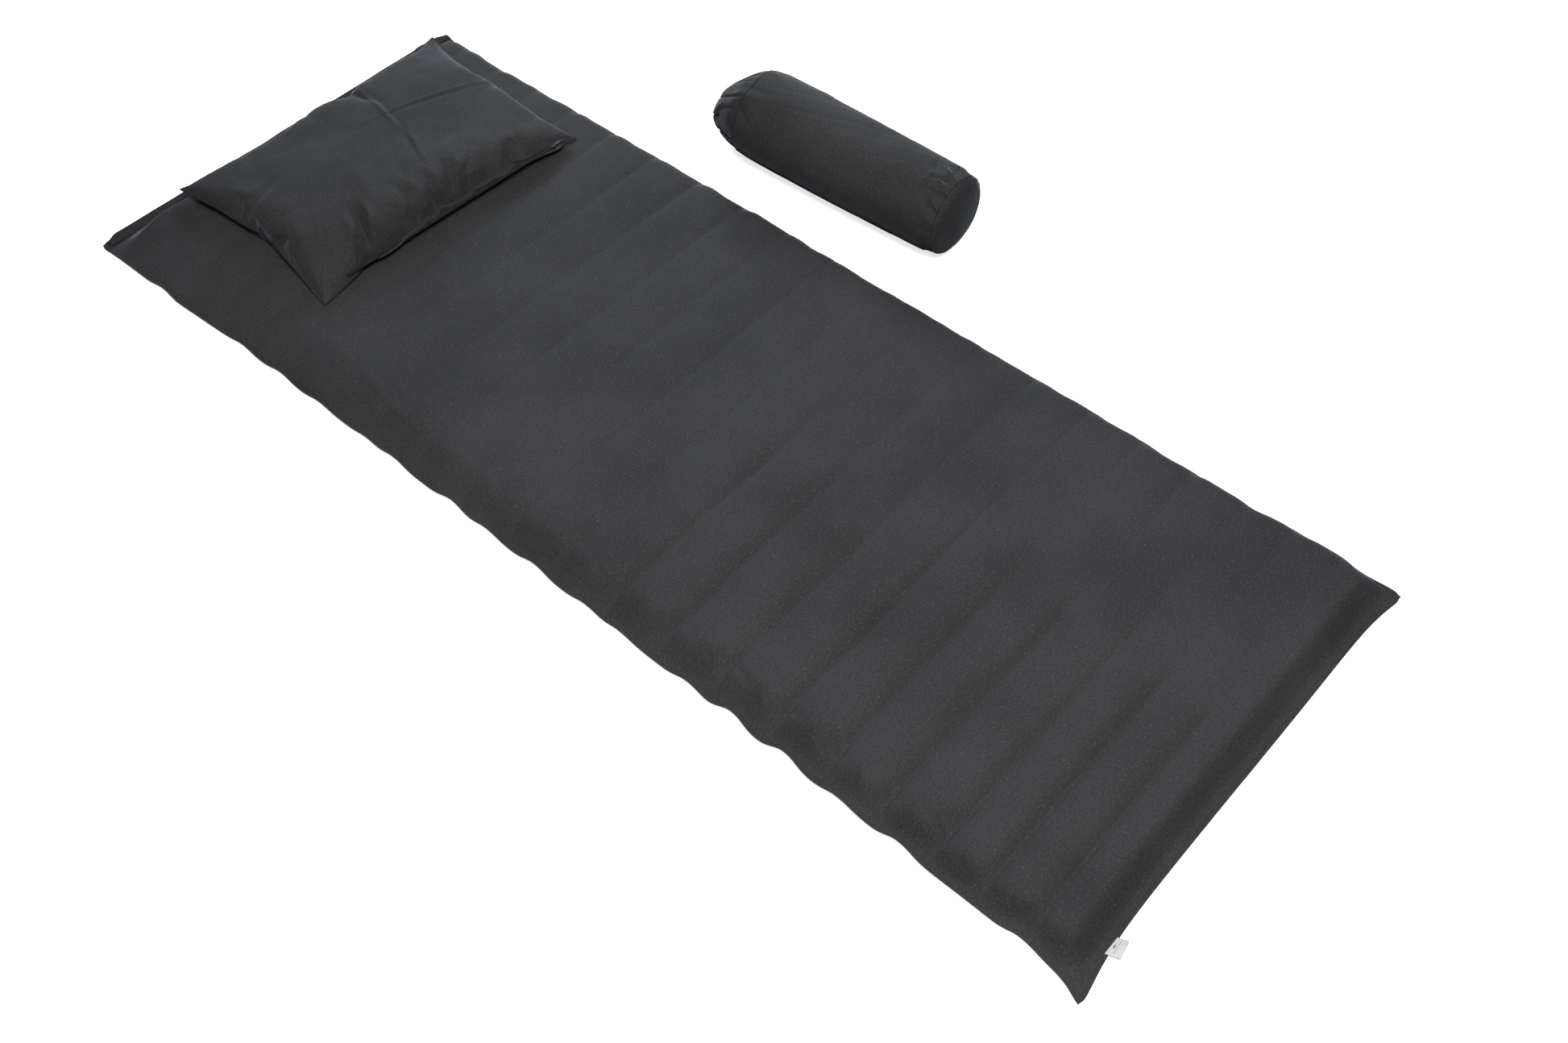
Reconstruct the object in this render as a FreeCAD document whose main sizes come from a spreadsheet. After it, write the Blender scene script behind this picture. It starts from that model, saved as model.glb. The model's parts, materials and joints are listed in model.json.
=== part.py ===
import FreeCAD, Part
import os
import re

# Folding floor mattress with its pillow and bolster, in millimetres.
# Origin: middle of the mattress's underside. +Y runs to the head end, +X to the long edge beside
# which the bolster lies, +Z is up.

SIZES = {
    # mattress
    "mat_half_width": 350,
    "mat_height": 40,
    "seam_level": 10,
    "edge_slope": 30,
    "under_slope": 16,
    "valley_drop": 11,
    "foot_end": -892,
    "foot_fold_at": -430,
    "centre_fold_at": 25,
    "head_fold_at": 475,
    "head_end": 893,
    "fold_gap": 0.5,
    # layers of cloth, and the play between them
    "cover_cloth": 1.0,
    "bag_cloth": 0.6,
    "play": 0.2,
    "roll_gap": 0.8,
    # side label
    "label_width": 25,
    "label_out": 10,
    "label_cloth": 0.6,
    "label_at": -270,
    # zips: a flat tape, a chain of teeth along its edge, and a slider that rides on the chain
    "tape_width": 3.4,
    "tape_cloth": 0.8,
    "chain_width": 2.2,
    "chain_height": 1.8,
    "zip_play": 0.2,
    "slider_length": 9,
    "slider_depth": 4.6,
    "slider_overlap": 1.0,
    "slider_height": 4.2,
    "slider_play": 0.25,
    "pull_length": 18,
    "pull_width": 5,
    "pull_height": 1.0,
    "mat_zip_half": 300,
    "mat_slider_at": -300,
    # pillow, which lies on the head section
    "pillow_x": 35,
    "pillow_y": 681,
    "pillow_turn": -2.4,
    "pillow_half_length": 250,
    "pillow_half_depth": 170,
    "pillow_rise": 52,
    "pillow_belly": 18,
    "pillow_rest": 40.5,
    "pillow_zip_half": 200,
    "pillow_slider_at": 191,
    # bolster, which lies on the floor beside the mattress
    "bolster_x": 487.5,
    "bolster_y": 107.5,
    "bolster_turn": 2.04,
    "bolster_radius": 72,
    "bolster_axis_level": 70,
    "bolster_half_length": 192.5,
    "bolster_bulge": 34,
    "bolster_zip_half": 150,
    "bolster_slider_at": 141,
    "bolster_zip_angle": 32,
}

SECTIONS = (
    # name, its two Y limits, its channels, and which of its ends is a sewn edge: the low or the high one
    ("foot", "foot_end", "foot_fold_at - fold_gap / 2", 6, True, False),
    ("lower", "foot_fold_at + fold_gap / 2", "centre_fold_at - fold_gap / 2", 5, False, False),
    ("upper", "centre_fold_at + fold_gap / 2", "head_fold_at - fold_gap / 2", 5, False, False),
    ("head", "head_fold_at + fold_gap / 2", "head_end", 5, False, True),
)

os.makedirs("parts", exist_ok=True)
doc = FreeCAD.newDocument("FoldingMattress")
sheet = doc.addObject("Spreadsheet::Sheet", "Sizes")
for row, (alias, value) in enumerate(SIZES.items(), start=1):
    sheet.set(f"A{row}", alias)
    sheet.set(f"B{row}", str(value))
    sheet.setAlias(f"B{row}", alias)
doc.recompute()

subparts = []


def cells(expression):
    """Point each size's name in an expression at its cell in the sheet."""
    return re.sub(r"[a-z_]+", lambda word: f"Sizes.{word[0]}" if word[0] in SIZES else word[0], expression)


def bind(item, expressions):
    for path, expression in expressions.items():
        item.setExpression(path, cells(expression))


def box(name, x, y, z):
    """A box between two limits, given as a pair of expressions, along each axis."""
    item = doc.addObject("Part::Box", name)
    sizes = {"Length": x, "Width": y, "Height": z}
    bind(item, {side: f"({high}) - ({low})" for side, (low, high) in sizes.items()})
    bind(item, {f"Placement.Base.{axis}": low for axis, (low, _) in zip("xyz", (x, y, z))})
    return item


def boolean(kind, name, *shapes):
    """Part::Cut takes two shapes; Part::MultiCommon and Part::MultiFuse take several."""
    item = doc.addObject(kind, name)
    if kind == "Part::Cut":
        item.Base, item.Tool = shapes
    else:
        item.Shapes = list(shapes)
    return item


def taper(name, half_width, y_limits, z_limits):
    """A block between two levels whose half width and Y limits differ from its bottom to its top."""
    item = doc.addObject("Part::Wedge", name)
    item.Placement.Rotation = FreeCAD.Rotation(FreeCAD.Vector(1, 0, 0), 90)
    bottom, top = y_limits
    limits = {
        "Xmin": f"-({half_width[0]})",
        "Xmax": half_width[0],
        "X2min": f"-({half_width[1]})",
        "X2max": half_width[1],
        "Ymin": z_limits[0],
        "Ymax": z_limits[1],
        "Zmin": f"-({bottom[1]})",
        "Zmax": f"-({bottom[0]})",
        "Z2min": f"-({top[1]})",
        "Z2max": f"-({top[0]})",
    }
    bind(item, limits)
    return item


def finish_subpart(item, label):
    item.Label = label
    subparts.append(item)
    return item


def channel_cylinders(name, low, high, count, inset):
    """The crowns of a section's channels, each a shallow arc from valley to valley."""
    pitch = f"(({high}) - ({low})) / {count}"
    radius = f"(({pitch})^2 / 4 + valley_drop^2) / (2 * valley_drop)"
    crowns = []
    for index in range(count):
        crown = doc.addObject("Part::Cylinder", f"{name}_crown_{index + 1}")
        crown.Placement.Rotation = FreeCAD.Rotation(FreeCAD.Vector(0, 1, 0), 90)
        sizes = {
            "Radius": f"{radius} - ({inset})",
            "Height": "2 * mat_half_width",
            "Placement.Base.x": "-mat_half_width",
            "Placement.Base.y": f"({low}) + ({index} + 0.5) * {pitch}",
            "Placement.Base.z": f"mat_height - {radius}",
        }
        bind(crown, sizes)
        crowns.append(crown)
    return crowns


def section_solids(name, section, inset):
    """A section's taper above its seam, the one below it and its crowns, a set distance inside its surface."""
    _, low, high, count, low_edge, high_edge = section
    # a sloping edge goes in by twice the inset, so that its cloth is as thick as the rest
    side = f"2 * ({inset})"
    crest = f"mat_height - ({inset})"

    def y_limits(slope):
        low_in = f"({low}) + {side} + {slope}" if low_edge else low
        high_in = f"({high}) - {side} - {slope}" if high_edge else high
        return low_in, high_in

    rim = f"mat_half_width - {side}"
    crown_limits = (y_limits("0"), y_limits("1.6 * edge_slope"))
    above = taper(f"{name}_above", (rim, f"{rim} - edge_slope"), crown_limits, ("seam_level", crest))
    base_limits = (y_limits("under_slope"), y_limits("0"))
    below = taper(f"{name}_below", (f"{rim} - under_slope", rim), base_limits, (inset, "seam_level"))
    return above, below, channel_cylinders(name, low, high, count, inset)


def section_halves(name, section, inset):
    """The part of a section above its seam and the part below it, a set distance inside its surface."""
    above, below, crowns = section_solids(name, section, inset)
    crown = boolean("Part::MultiFuse", f"{name}_crowns", *crowns)
    return boolean("Part::MultiCommon", f"{name}_upper_half", above, crown), below


def mattress_section(section):
    name, low, high, count, _, _ = section
    bag_outside = "cover_cloth + play"
    fill_outside = f"{bag_outside} + bag_cloth + play"
    outer = section_halves(f"{name}_outer", section, "0")
    cover_inner = section_halves(f"{name}_cover_inner", section, "cover_cloth")
    bag_outer = section_halves(f"{name}_bag_outer", section, bag_outside)
    bag_inner = section_halves(f"{name}_bag_inner", section, f"{bag_outside} + bag_cloth")
    for half, panel in enumerate(("top", "underside")):
        cover = boolean("Part::Cut", f"{name}_cover_{panel}_cut", outer[half], cover_inner[half])
        finish_subpart(cover, f"{name}_cover_{panel}")
        bag = boolean("Part::Cut", f"{name}_ticking_{panel}_cut", bag_outer[half], bag_inner[half])
        finish_subpart(bag, f"{name}_ticking_{panel}")

    above, below, crowns = section_solids(f"{name}_fill", section, fill_outside)
    block = boolean("Part::MultiFuse", f"{name}_fill_block", above, below)
    pitch = f"(({high}) - ({low})) / {count}"
    for index, crown in enumerate(crowns):
        start = f"({low}) + {index} * {pitch} + roll_gap / 2"
        end = f"({low}) + {index + 1} * {pitch} - roll_gap / 2"
        width = ("-mat_half_width", "mat_half_width")
        slot = box(f"{name}_slot_{index + 1}", width, (start, end), ("0", "mat_height"))
        roll = boolean("Part::MultiCommon", f"{name}_roll_{index + 1}_body", block, crown, slot)
        finish_subpart(roll, f"{name}_fill_roll_{index + 1}")


def zip_set(name, half_run, slider_at, place):
    """A zip that stands out from a seam: its run is its own Y axis and +X points away from the seam.

    A flat tape, a chain of teeth along the tape's edge, and a slider, open towards the seam, with a
    pull on top. place gives the seam's middle and the turn of the whole set.
    """
    run = (f"-({half_run})", half_run)
    chain_start = "zip_play + tape_width"
    chain_end = f"{chain_start} + chain_width"
    tape_z = ("-tape_cloth / 2", "tape_cloth / 2")
    tape = box(f"{name}_tape_box", ("zip_play", chain_start), run, tape_z)
    chain_z = ("-chain_height / 2", "chain_height / 2")
    chain = box(f"{name}_teeth_box", (chain_start, chain_end), run, chain_z)

    slider_x = (f"{chain_start} - slider_overlap", f"{chain_start} - slider_overlap + slider_depth")
    slider_y = (slider_at, f"{slider_at} + slider_length")
    slider_z = ("-slider_height / 2", "slider_height / 2")
    block = box(f"{name}_slider_block", slider_x, slider_y, slider_z)
    slot_x = ("0", f"{chain_end} + slider_play")
    slot_y = (f"{slider_y[0]} - slider_length", f"{slider_y[1]} + slider_length")
    slot_z = ("-chain_height / 2 - slider_play", "chain_height / 2 + slider_play")
    slot = box(f"{name}_slider_slot", slot_x, slot_y, slot_z)
    slider = boolean("Part::Cut", f"{name}_slider_cut", block, slot)

    pull_start = f"{slider_at} + slider_length / 2"
    pull_y = (pull_start, f"{pull_start} + pull_length")
    pull_z = ("slider_height / 2", "slider_height / 2 + pull_height")
    pull = box(f"{name}_pull_plate", slider_x, pull_y, pull_z)
    for label, piece in zip(("tape", "teeth", "slider", "pull"), (tape, chain, slider, pull)):
        holder = doc.addObject("Part::Compound", f"{name}_{label}_placed")
        holder.Links = [piece]
        bind(holder, place)
        finish_subpart(holder, f"{name}_{label}")


def side_label():
    """A small woven label, folded into the foot end's seam near one corner."""
    width = ("label_at - label_width / 2", "label_at + label_width / 2")
    out = ("foot_end - play - label_out", "foot_end - play")
    level = ("seam_level - label_cloth / 2", "seam_level + label_cloth / 2")
    finish_subpart(box("label_strip", width, out, level), "side_label")


def pillow_dome(name, inset, height, direction):
    """One side of the pillow, crowned both ways, a set distance inside its surface.

    direction is 1 for the side above the seam and -1 for the side below it.
    """
    rise = f"({height} - ({inset}))"
    half_length = f"(pillow_half_length - 3 * ({inset}))"
    half_depth = f"(pillow_half_depth - 3 * ({inset}))"
    level = (f"-{rise}", "0") if direction < 0 else ("0", rise)
    x_limits = (f"-{half_length}", half_length)
    y_limits = (f"-{half_depth}", half_depth)
    arches = [box(f"{name}_block", x_limits, y_limits, level)]
    for axis, half_span, half_run in (("x", half_depth, half_length), ("y", half_length, half_depth)):
        radius = f"(({half_span}^2 + {rise}^2) / (2 * {rise}))"
        arch = doc.addObject("Part::Cylinder", f"{name}_arch_{axis}")
        turned = (FreeCAD.Vector(0, 1, 0), 90) if axis == "x" else (FreeCAD.Vector(1, 0, 0), -90)
        arch.Placement.Rotation = FreeCAD.Rotation(*turned)
        sizes = {
            "Radius": radius,
            "Height": f"2 * {half_run}",
            f"Placement.Base.{axis}": f"-{half_run}",
            "Placement.Base.z": f"{direction} * ({rise} - {radius})",
        }
        bind(arch, sizes)
        arches.append(arch)
    return boolean("Part::MultiCommon", name, *arches)


def pillow():
    place = {
        "Placement.Base.x": "pillow_x",
        "Placement.Base.y": "pillow_y",
        "Placement.Base.z": "pillow_rest + pillow_belly",
        "Placement.Rotation.Yaw": "pillow_turn",
    }

    def halves(layer, inset):
        above = pillow_dome(f"pillow_{layer}_above", inset, "pillow_rise", 1)
        below = pillow_dome(f"pillow_{layer}_below", inset, "pillow_belly", -1)
        return above, below

    def whole(layer, inset):
        return boolean("Part::MultiFuse", f"pillow_{layer}_whole", *halves(layer, inset))

    outside = halves("outer", "0")
    lining = halves("lining", "cover_cloth")
    for half, panel in enumerate(("top", "underside")):
        cover = boolean("Part::Cut", f"pillow_{panel}_cut", outside[half], lining[half])
        bind(cover, place)
        finish_subpart(cover, f"pillow_cover_{panel}")
    bag_outer = whole("bag_outer", "cover_cloth + play")
    bag_inner = whole("bag_inner", "cover_cloth + play + bag_cloth")
    bag = boolean("Part::Cut", "pillow_bag_cut", bag_outer, bag_inner)
    bind(bag, place)
    finish_subpart(bag, "pillow_inner_bag")
    filling = whole("filling", "cover_cloth + bag_cloth + 2 * play")
    bind(filling, place)
    finish_subpart(filling, "pillow_filling")

    zip_place = {
        "Placement.Base.x": "pillow_x + pillow_half_depth * sin(pillow_turn * 1 deg)",
        "Placement.Base.y": "pillow_y - pillow_half_depth * cos(pillow_turn * 1 deg)",
        "Placement.Base.z": "pillow_rest + pillow_belly",
        "Placement.Rotation.Yaw": "pillow_turn - 90",
    }
    zip_set("pillow_zip", "pillow_zip_half", "pillow_slider_at", zip_place)


def bolster():
    place = {
        "Placement.Base.x": "bolster_x",
        "Placement.Base.y": "bolster_y",
        "Placement.Base.z": "bolster_axis_level",
        "Placement.Rotation.Yaw": "bolster_turn",
    }

    def barrel(layer, inset, start, end):
        """A length of the round tube, flattened where it rests on the floor."""
        tube = doc.addObject("Part::Cylinder", f"bolster_{layer}_round")
        tube.Placement.Rotation = FreeCAD.Rotation(FreeCAD.Vector(1, 0, 0), -90)
        sizes = {
            "Radius": f"bolster_radius - ({inset})",
            "Height": f"({end}) - ({start})",
            "Placement.Base.y": start,
        }
        bind(tube, sizes)
        return on_floor(layer, tube, inset, start, end)

    def on_floor(layer, shape, inset, start, end):
        width = ("-bolster_radius", "bolster_radius")
        floor = (f"-bolster_axis_level + ({inset})", "bolster_radius")
        kept = box(f"bolster_{layer}_space", width, (start, end), floor)
        return boolean("Part::MultiCommon", f"bolster_{layer}", shape, kept)

    def bulge(layer, inset, start, end):
        """The domed head-side end, beyond the tube's seam."""
        radius = "((bolster_radius^2 + bolster_bulge^2) / (2 * bolster_bulge))"
        ball = doc.addObject("Part::Sphere", f"bolster_{layer}_ball")
        centre = f"bolster_half_length + bolster_bulge - {radius}"
        bind(ball, {"Radius": f"{radius} - ({inset})", "Placement.Base.y": centre})
        return on_floor(layer, ball, inset, start, end)

    foot, head = "-bolster_half_length", "bolster_half_length"
    tip = "bolster_half_length + bolster_bulge"
    tube_outer = barrel("tube_outer", "0", foot, head)
    tube_inner = barrel("tube_inner", "cover_cloth", foot, head)
    tube = boolean("Part::Cut", "bolster_tube_cut", tube_outer, tube_inner)
    foot_disc = barrel("foot_disc", "0", f"{foot} - cover_cloth", foot)
    dome_outer = bulge("dome_outer", "0", head, tip)
    dome_inner = bulge("dome_inner", "cover_cloth", head, tip)
    dome = boolean("Part::Cut", "bolster_dome_cut", dome_outer, dome_inner)

    def stuffed(layer, inset):
        """Barrel and dome in one, inside the cover."""
        body = barrel(f"{layer}_body", inset, f"{foot} + ({inset}) - cover_cloth", head)
        return boolean("Part::MultiFuse", f"bolster_{layer}", body, bulge(f"{layer}_end", inset, head, tip))

    bag_outer = stuffed("bag_outer", "cover_cloth + play")
    bag_inner = stuffed("bag_inner", "cover_cloth + play + bag_cloth")
    bag = boolean("Part::Cut", "bolster_bag_cut", bag_outer, bag_inner)
    filling = stuffed("stuffing", "cover_cloth + bag_cloth + 2 * play")
    pieces = {
        "bolster_cover_tube": tube,
        "bolster_foot_disc": foot_disc,
        "bolster_head_disc": dome,
        "bolster_inner_bag": bag,
        "bolster_filling": filling,
    }
    for label, piece in pieces.items():
        bind(piece, place)
        finish_subpart(piece, label)

    out = "bolster_radius * cos(bolster_zip_angle * 1 deg)"
    zip_place = {
        "Placement.Base.x": f"bolster_x + {out} * cos(bolster_turn * 1 deg)",
        "Placement.Base.y": f"bolster_y + {out} * sin(bolster_turn * 1 deg)",
        "Placement.Base.z": "bolster_axis_level - bolster_radius * sin(bolster_zip_angle * 1 deg)",
        "Placement.Rotation.Yaw": "bolster_turn",
        "Placement.Rotation.Pitch": "bolster_zip_angle",
    }
    zip_set("bolster_zip", "bolster_zip_half", "bolster_slider_at", zip_place)


for each in SECTIONS:
    mattress_section(each)
side_label()
mattress_zip_place = {
    "Placement.Base.y": "head_end",
    "Placement.Base.z": "seam_level",
    "Placement.Rotation.Yaw": "90",
}
zip_set("mattress_zip", "mat_zip_half", "mat_slider_at", mattress_zip_place)
pillow()
bolster()
doc.recompute()

for item in doc.Objects:
    if {"Invalid", "Error"} & set(item.State):
        raise RuntimeError(f"{item.Label} did not compute: {item.State}")
for item in subparts:
    if item.Shape.isNull() or not item.Shape.isValid():
        raise RuntimeError(f"{item.Label} has no valid shape")
for item in subparts:
    item.Shape.exportStep(f"parts/{item.Label}.step")
    print(f"{item.Label}: {item.Shape.Volume / 1000:.2f} cubic centimetres")
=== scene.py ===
import json
import math

import bmesh
import bpy
import numpy as np
from mathutils import Matrix, Vector

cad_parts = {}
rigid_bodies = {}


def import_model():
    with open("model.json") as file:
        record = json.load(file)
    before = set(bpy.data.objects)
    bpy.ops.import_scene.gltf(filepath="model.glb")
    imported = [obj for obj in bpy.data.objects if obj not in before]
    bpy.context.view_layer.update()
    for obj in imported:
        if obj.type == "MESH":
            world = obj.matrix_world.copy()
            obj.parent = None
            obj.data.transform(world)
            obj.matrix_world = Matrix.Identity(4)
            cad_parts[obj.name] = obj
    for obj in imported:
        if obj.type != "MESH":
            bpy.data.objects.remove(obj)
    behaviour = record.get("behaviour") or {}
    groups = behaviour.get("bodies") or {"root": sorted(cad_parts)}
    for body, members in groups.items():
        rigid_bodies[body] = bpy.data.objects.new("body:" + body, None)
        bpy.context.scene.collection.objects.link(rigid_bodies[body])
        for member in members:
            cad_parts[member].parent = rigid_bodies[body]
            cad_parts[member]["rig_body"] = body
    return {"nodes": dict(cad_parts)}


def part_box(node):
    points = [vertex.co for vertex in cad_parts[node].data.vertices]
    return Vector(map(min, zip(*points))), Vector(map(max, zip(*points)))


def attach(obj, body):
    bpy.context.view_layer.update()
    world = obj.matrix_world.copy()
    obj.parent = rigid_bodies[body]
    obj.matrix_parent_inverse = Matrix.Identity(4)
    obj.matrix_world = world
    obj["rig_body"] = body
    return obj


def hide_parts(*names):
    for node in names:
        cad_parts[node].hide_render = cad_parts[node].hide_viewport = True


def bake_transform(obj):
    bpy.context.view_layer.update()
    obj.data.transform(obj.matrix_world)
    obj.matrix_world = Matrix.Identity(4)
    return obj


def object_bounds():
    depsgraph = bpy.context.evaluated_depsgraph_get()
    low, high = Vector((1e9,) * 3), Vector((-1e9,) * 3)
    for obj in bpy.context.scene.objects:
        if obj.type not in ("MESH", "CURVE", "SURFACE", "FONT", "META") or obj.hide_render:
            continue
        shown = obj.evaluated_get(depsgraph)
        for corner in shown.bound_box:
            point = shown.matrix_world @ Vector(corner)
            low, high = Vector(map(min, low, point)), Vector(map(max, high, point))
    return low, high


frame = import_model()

CAD_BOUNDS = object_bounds()
MM = 0.001

# Camera, in metres, degrees and millimetres: seen from the foot end's left side, from standing height
CAMERA_PLACE = (-1.05445, -1.10146, 1.72621)
CAMERA_AIM = (0.45699, 0.40293, -0.79297)
CAMERA_ROLL = -0.17
CAMERA_LENS = 37.77

# Lights: name, place, aim, size, power in watts and colour
LIGHTS = (
    ("key", (-0.80, -1.0, 2.5), (-0.2, -0.45, 0), 0.8, 87, (1.0, 0.99, 0.97)),
    ("rim", (1.75, 1.45, 0.9), (0.1, 0.65, 0), 0.6, 35, (0.84, 0.91, 1.0)),
)
SKY_STRENGTH = 0.30
# Paper floor and the round backdrop at its edge, in metres: large enough for the lowest views
FLOOR_HALF = 30.0
BACKDROP_RADIUS = 28.0
BACKDROP_HEIGHT = 16.0
BACKDROP_SIDES = 64

# Mattress, in metres
SEAM_LIP = 2.6 * MM           # the two cloths lie flat together along the seam
CLOTH = 0.7 * MM              # half the thickness of the seam's two cloths
CREST = 38.5 * MM             # height of the channels' crowns
VALLEY_DEPTH = 12.5 * MM      # where the channels are most marked
SEAM_LEVEL = 9.5 * MM
LEFT_RISE = 38 * MM           # how far in from the left side's seam the top has risen to its full height
HOOK = 11 * MM                # how far the channels' puffed ends swing in from the left side's seam
RIGHT_RISE = 30 * MM
END_RISE = 38 * MM
UNDER_RISE = 30 * MM
EAR_LENGTH = 24 * MM          # how quickly the padding's pull on the seam builds up away from a corner
CORNER_CUT = 3.6 * MM         # how far a corner's tip is rounded off
ROW_STEP = 3.4 * MM
COLUMN_STEP = 4.4 * MM
EDGE_BAND = 55 * MM           # width of the band of closer rows or columns beside each seam
UNDER_SHIFT = 0.37            # an underside takes its weave from this far off, to differ from the top

# Lint: specks per metre, times narrower than long, turn, size, and the share of places that stay bare
LINT = ((62, 1.0, 0.0, 0.013, 0.88), (31, 7.0, 0.7, 0.011, 0.62), (27, 8.0, -0.9, 0.010, 0.62))
LINT_STRENGTH = 0.26
LINT_COLOUR = (0.55, 0.55, 0.55, 1)
TWILL_PITCH = 0.8 * MM        # from one diagonal rib of the cloth to the next


# ---------------------------------------------------------------- helpers


def smooth_noise(seed, u, v):
    """Smooth random field with features about one unit long, about -1 to 1, repeatable."""
    u, v = np.broadcast_arrays(np.asarray(u, float), np.asarray(v, float))
    lattice = np.random.default_rng(seed).uniform(-1, 1, (256, 256))
    i, j = np.floor(u).astype(int), np.floor(v).astype(int)
    fu, fv = u - i, v - j
    fu, fv = fu**3 * (fu * (fu * 6 - 15) + 10), fv**3 * (fv * (fv * 6 - 15) + 10)

    def corner(a, b):
        return lattice[(i + a) % 256, (j + b) % 256]

    low = corner(0, 0) * (1 - fu) + corner(1, 0) * fu
    high = corner(0, 1) * (1 - fu) + corner(1, 1) * fu
    return low * (1 - fv) + high * fv


def fade(t):
    """0 to 1, smoothly, as t goes from 0 to 1."""
    t = np.clip(t, 0, 1)
    return t * t * (3 - 2 * t)


def bell(distance, width):
    return np.exp(-((distance / width) ** 2))


def fading(x, at, reach):
    return np.exp(-np.abs(x - at) / reach)


def spaced(low, high, step):
    return np.linspace(low, high, max(2, round((high - low) / step) + 1))


def new_object(name, mesh):
    item = bpy.data.objects.new(name, mesh)
    bpy.context.scene.collection.objects.link(item)
    return item


def grid_faces(rows, columns, start=0, flip=False):
    """Quads between neighbouring points of a rows by columns grid whose points are numbered row by row."""
    corner = start + np.arange(rows * columns).reshape(rows, columns)
    quads = np.stack([corner[:-1, :-1], corner[:-1, 1:], corner[1:, 1:], corner[1:, :-1]], -1).reshape(-1, 4)
    return quads[:, ::-1] if flip else quads


def rim_of(rows, columns):
    """The numbers of the points round the edge of a rows by columns grid, in order."""
    corner = np.arange(rows * columns).reshape(rows, columns)
    return np.concatenate([corner[0], corner[1:, -1], corner[-1, -2::-1], corner[-2:0:-1, 0]])


def ring_faces(here, ahead, flip=False):
    """Quads between rings of points: here and ahead number each ring's points and the next ring's."""
    quads = np.stack([here, np.roll(here, -1, 1), np.roll(ahead, -1, 1), ahead], -1).reshape(-1, 4)
    return quads[:, [0, 3, 2, 1]] if flip else quads


def mesh_from(name, points, faces, place=None, smooth=True):
    """A mesh. place is where each point lies on the flat cloth, for the weave to follow."""
    mesh = bpy.data.meshes.new(name)
    mesh.from_pydata(np.asarray(points).tolist(), [], faces if isinstance(faces, list) else faces.tolist())
    if place is not None:
        set_cloth_place(mesh, place)
    mesh.polygons.foreach_set("use_smooth", [smooth] * len(mesh.polygons))
    mesh.update()
    return mesh


def set_cloth_place(mesh, place):
    weave = mesh.attributes.new("cloth_place", "FLOAT_VECTOR", "POINT")
    weave.data.foreach_set("vector", np.asarray(place, np.float32).ravel())


def turn_outwards(mesh):
    edit = bmesh.new()
    edit.from_mesh(mesh)
    bmesh.ops.recalc_face_normals(edit, faces=edit.faces)
    edit.to_mesh(mesh)
    edit.free()


def dressed(name, mesh, look, body=None):
    """A new piece with its material and slot, and the body that it rides on."""
    item = new_object(name, mesh)
    item.data.materials.append(look)
    if body:
        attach(item, body)
    return item


def modified(item, kind, **values):
    modifier = item.modifiers.new(kind.lower(), kind)
    for key, value in values.items():
        setattr(modifier, key, value)
    return modifier


def node_span(name):
    low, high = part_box(name)
    return np.array(low), np.array(high)


def node_points(name):
    return np.array([tuple(v.co) for v in frame["nodes"][name].data.vertices])


# ---------------------------------------------------------------- materials


def material(name):
    item = bpy.data.materials.new(name)
    item.use_nodes = True
    item.node_tree.nodes.clear()
    return item, item.node_tree


def node(tree, kind, *inputs, **named):
    """A shader node. inputs fill its inputs in order; named ones are its properties, or inputs by name.

    An input takes a constant, another node's output, or a node, which stands for its first output.
    """
    item = tree.nodes.new(kind)
    by_name = []
    for key, value in named.items():
        if hasattr(item, key):
            setattr(item, key, value)
        else:
            by_name.append((key.replace("_", " "), value))
    for key, value in [*enumerate(inputs), *by_name]:
        if isinstance(value, bpy.types.Node):
            value = value.outputs[0]
        if isinstance(value, bpy.types.NodeSocket):
            tree.links.new(value, item.inputs[key])
        else:
            item.inputs[key].default_value = value
    return item


def maths(tree, operation, *values):
    return node(tree, "ShaderNodeMath", *values, operation=operation)


def ramp(tree, source, low, high, places=(0, 1)):
    """A colour ramp between two colours."""
    item = node(tree, "ShaderNodeValToRGB", source)
    for element, place, colour in zip(item.color_ramp.elements, places, (low, high)):
        element.position = place
        element.color = (*colour, 1)
    return item


def cloth_coordinates(tree):
    return node(tree, "ShaderNodeAttribute", attribute_name="cloth_place").outputs["Vector"]


def blended(tree, share, a, b):
    return node(tree, "ShaderNodeMix", data_type="RGBA", Factor=share, A=a, B=b).outputs["Result"]


def surface(tree, **values):
    shader = node(tree, "ShaderNodeBsdfPrincipled", **values)
    node(tree, "ShaderNodeOutputMaterial", Surface=shader)


def with_lint(tree, place, colour):
    """The colour with round specks and short threads of lint strewn over it."""
    for scale, stretch, turn, size, bare in LINT:
        spin = node(tree, "ShaderNodeMapping", Vector=place, Rotation=(0, 0, turn),
                    Scale=(scale, scale * stretch, 1))
        speck = node(tree, "ShaderNodeTexVoronoi", voronoi_dimensions="2D", Vector=spin, Scale=1.0)
        small = maths(tree, "LESS_THAN", speck.outputs["Distance"], size * math.sqrt(stretch))
        chance = node(tree, "ShaderNodeSeparateColor", speck.outputs["Color"])
        shown = maths(tree, "MULTIPLY", small, maths(tree, "GREATER_THAN", chance, bare))
        colour = blended(tree, maths(tree, "MULTIPLY", shown, LINT_STRENGTH), colour, LINT_COLOUR)
    return colour


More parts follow.
